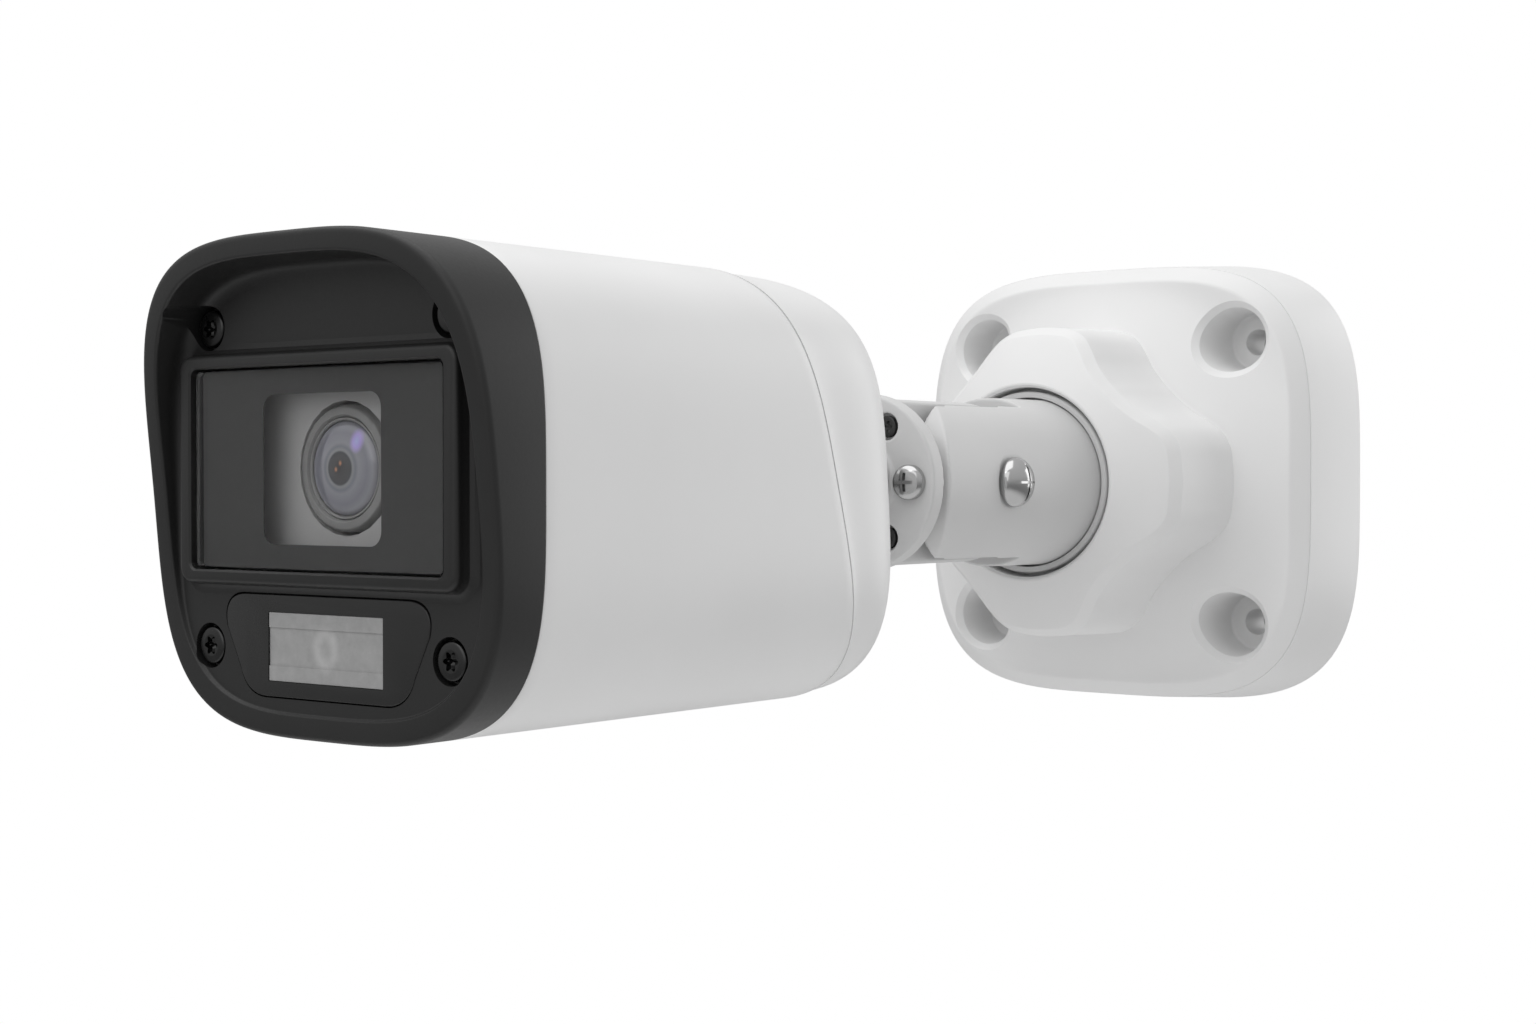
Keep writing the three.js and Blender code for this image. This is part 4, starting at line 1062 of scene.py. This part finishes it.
KEPT = {
    "bare_aluminium": (ALUMINIUM, ["back_plate", "chassis", "heat_sink"]),
    "rubber": (RUBBER, ["cable_grommet", "hood_seal", "rear_seal"]),
    "nylon": (NYLON, ["pan_bush", "tilt_washer_left", "tilt_washer_right"]),
    "circuit_board": (BOARD, ["sensor_board", "main_board", "led_board"]),
    "lens_black": (BARREL, ["lens_holder", "image_sensor"]),
    "diffuser": (NYLON, ["led_emitter"]),
    "grey_plastic": (SHROUD, ["lens_shroud"]),
    "bright_steel": (CHROME, [
        "back_plate_screw_right", "back_plate_screw_left", "back_plate_screw_top", "back_plate_screw_bottom",
        "pan_retainer", "pan_retainer_screw_1", "pan_retainer_screw_2", "pan_retainer_screw_3", "tilt_nut",
        "swivel_nut", "sensor_board_screw_left", "sensor_board_screw_right",
    ]),
    "dark_screw": (DARK_STEEL, ["pan_lock_screw"]),
}


def keep_cad_nodes():
    for slot, (material, names) in KEPT.items():
        for name in names:
            node = frame["nodes"][name]
            node.data.materials.clear()
            node.data.materials.append(material)


# ---- stage -----------------------------------------------------------------------------------------


def floor():
    """A pale floor below the object that fades into the white background."""
    bpy.ops.mesh.primitive_circle_add(vertices=96, radius=1.6, fill_type="NGON", location=(0, -0.1, -0.3))
    disc = bpy.context.object
    disc.name = "floor"
    n = Nodes("pale_floor")
    length = n.add("ShaderNodeVectorMath", operation="LENGTH")
    n.link(n.place, length.inputs[0])
    fade = n.ramp(length.outputs["Value"], [(0.25, grey(0)), (0.75, grey(1))], "EASE")
    n.colour(n.ramp(n.noise(9, 2), [(0.3, grey(0.80)), (0.7, grey(0.82))]))
    n.set(Roughness=0.8)
    clear = n.add("ShaderNodeBsdfTransparent")
    mix = n.add("ShaderNodeMixShader")
    n.link(fade, mix.inputs["Fac"])
    n.link(n.shader.outputs["BSDF"], mix.inputs[1])
    n.link(clear.outputs["BSDF"], mix.inputs[2])
    output = next(x for x in n.tree.nodes if x.type == "OUTPUT_MATERIAL")
    n.link(mix.outputs["Shader"], output.inputs["Surface"])
    disc.data.materials.append(n.material)


def world():
    """White background to the camera, and to the object a studio that is bright above and darker below."""
    made = bpy.data.worlds.new("studio")
    bpy.context.scene.world = made
    made.use_nodes = True
    tree = made.node_tree
    tree.nodes.clear()
    coordinates = tree.nodes.new("ShaderNodeTexCoord")
    split = tree.nodes.new("ShaderNodeSeparateXYZ")
    remap = tree.nodes.new("ShaderNodeMapRange")
    remap.inputs["From Min"].default_value = -1
    ramp = tree.nodes.new("ShaderNodeValToRGB")
    stops = [(0.0, 0.22), (0.40, 0.40), (0.5, 0.60), (0.62, 0.82), (1.0, 1.0)]
    while len(ramp.color_ramp.elements) < len(stops):
        ramp.color_ramp.elements.new(0.5)
    for element, (at, value) in zip(ramp.color_ramp.elements, stops):
        element.position = at
        element.color = (value, value, value, 1)
    path = tree.nodes.new("ShaderNodeLightPath")
    seen = tree.nodes.new("ShaderNodeBackground")
    lit = tree.nodes.new("ShaderNodeBackground")
    lit.inputs["Strength"].default_value = 0.76
    mix = tree.nodes.new("ShaderNodeMixShader")
    output = tree.nodes.new("ShaderNodeOutputWorld")
    seen.inputs["Color"].default_value = (1, 1, 1, 1)
    for a, b in (
        (coordinates.outputs["Generated"], split.inputs[0]),
        (split.outputs["Z"], remap.inputs["Value"]),
        (remap.outputs["Result"], ramp.inputs["Fac"]),
        (ramp.outputs["Color"], lit.inputs["Color"]),
        (path.outputs["Is Camera Ray"], mix.inputs["Fac"]),
        (lit.outputs["Background"], mix.inputs[1]),
        (seen.outputs["Background"], mix.inputs[2]),
        (mix.outputs["Shader"], output.inputs["Surface"]),
    ):
        tree.links.new(a, b)


def area_light(name, location, target, size, power):
    data = bpy.data.lights.new(name, "AREA")
    data.shape = "RECTANGLE"
    data.size, data.size_y = size
    data.energy = power
    light = bpy.data.objects.new(name, data)
    light.location = location
    light.rotation_euler = (Vector(target) - Vector(location)).to_track_quat("-Z", "Y").to_euler()
    bpy.context.scene.collection.objects.link(light)


def lights():
    middle = (0, -0.1, 0)
    area_light("overhead", (-0.15, -0.25, 0.7), middle, (0.8, 0.8), 2.3)
    area_light("key", (0.05, -0.75, 0.35), middle, (0.6, 0.6), 0.8)
    area_light("side", (0.32, 0.60, 0.12), middle, (0.5, 0.5), 1.2)


def camera():
    data = bpy.data.cameras.new("camera")
    data.sensor_width = 36
    data.lens = 52.3
    data.clip_start = 0.01
    eye = bpy.data.objects.new("camera", data)
    eye.location = (0.16553, -0.31681, 0.00019)
    eye.rotation_euler = (math.radians(90 - 0.8), 0, math.radians(37.5))
    bpy.context.scene.collection.objects.link(eye)
    bpy.context.scene.camera = eye


for make in (
    base_cover, base_skirt, arm, pan_ring, tilt_screw, knuckle, knuckle_screws, swivel_stud,
    housing, rear_cover, front_hood, hood_screws, window, led_window, lens, keep_cad_nodes,
    floor, world, lights, camera,
):
    make()
bpy.context.scene.view_settings.view_transform = "Standard"
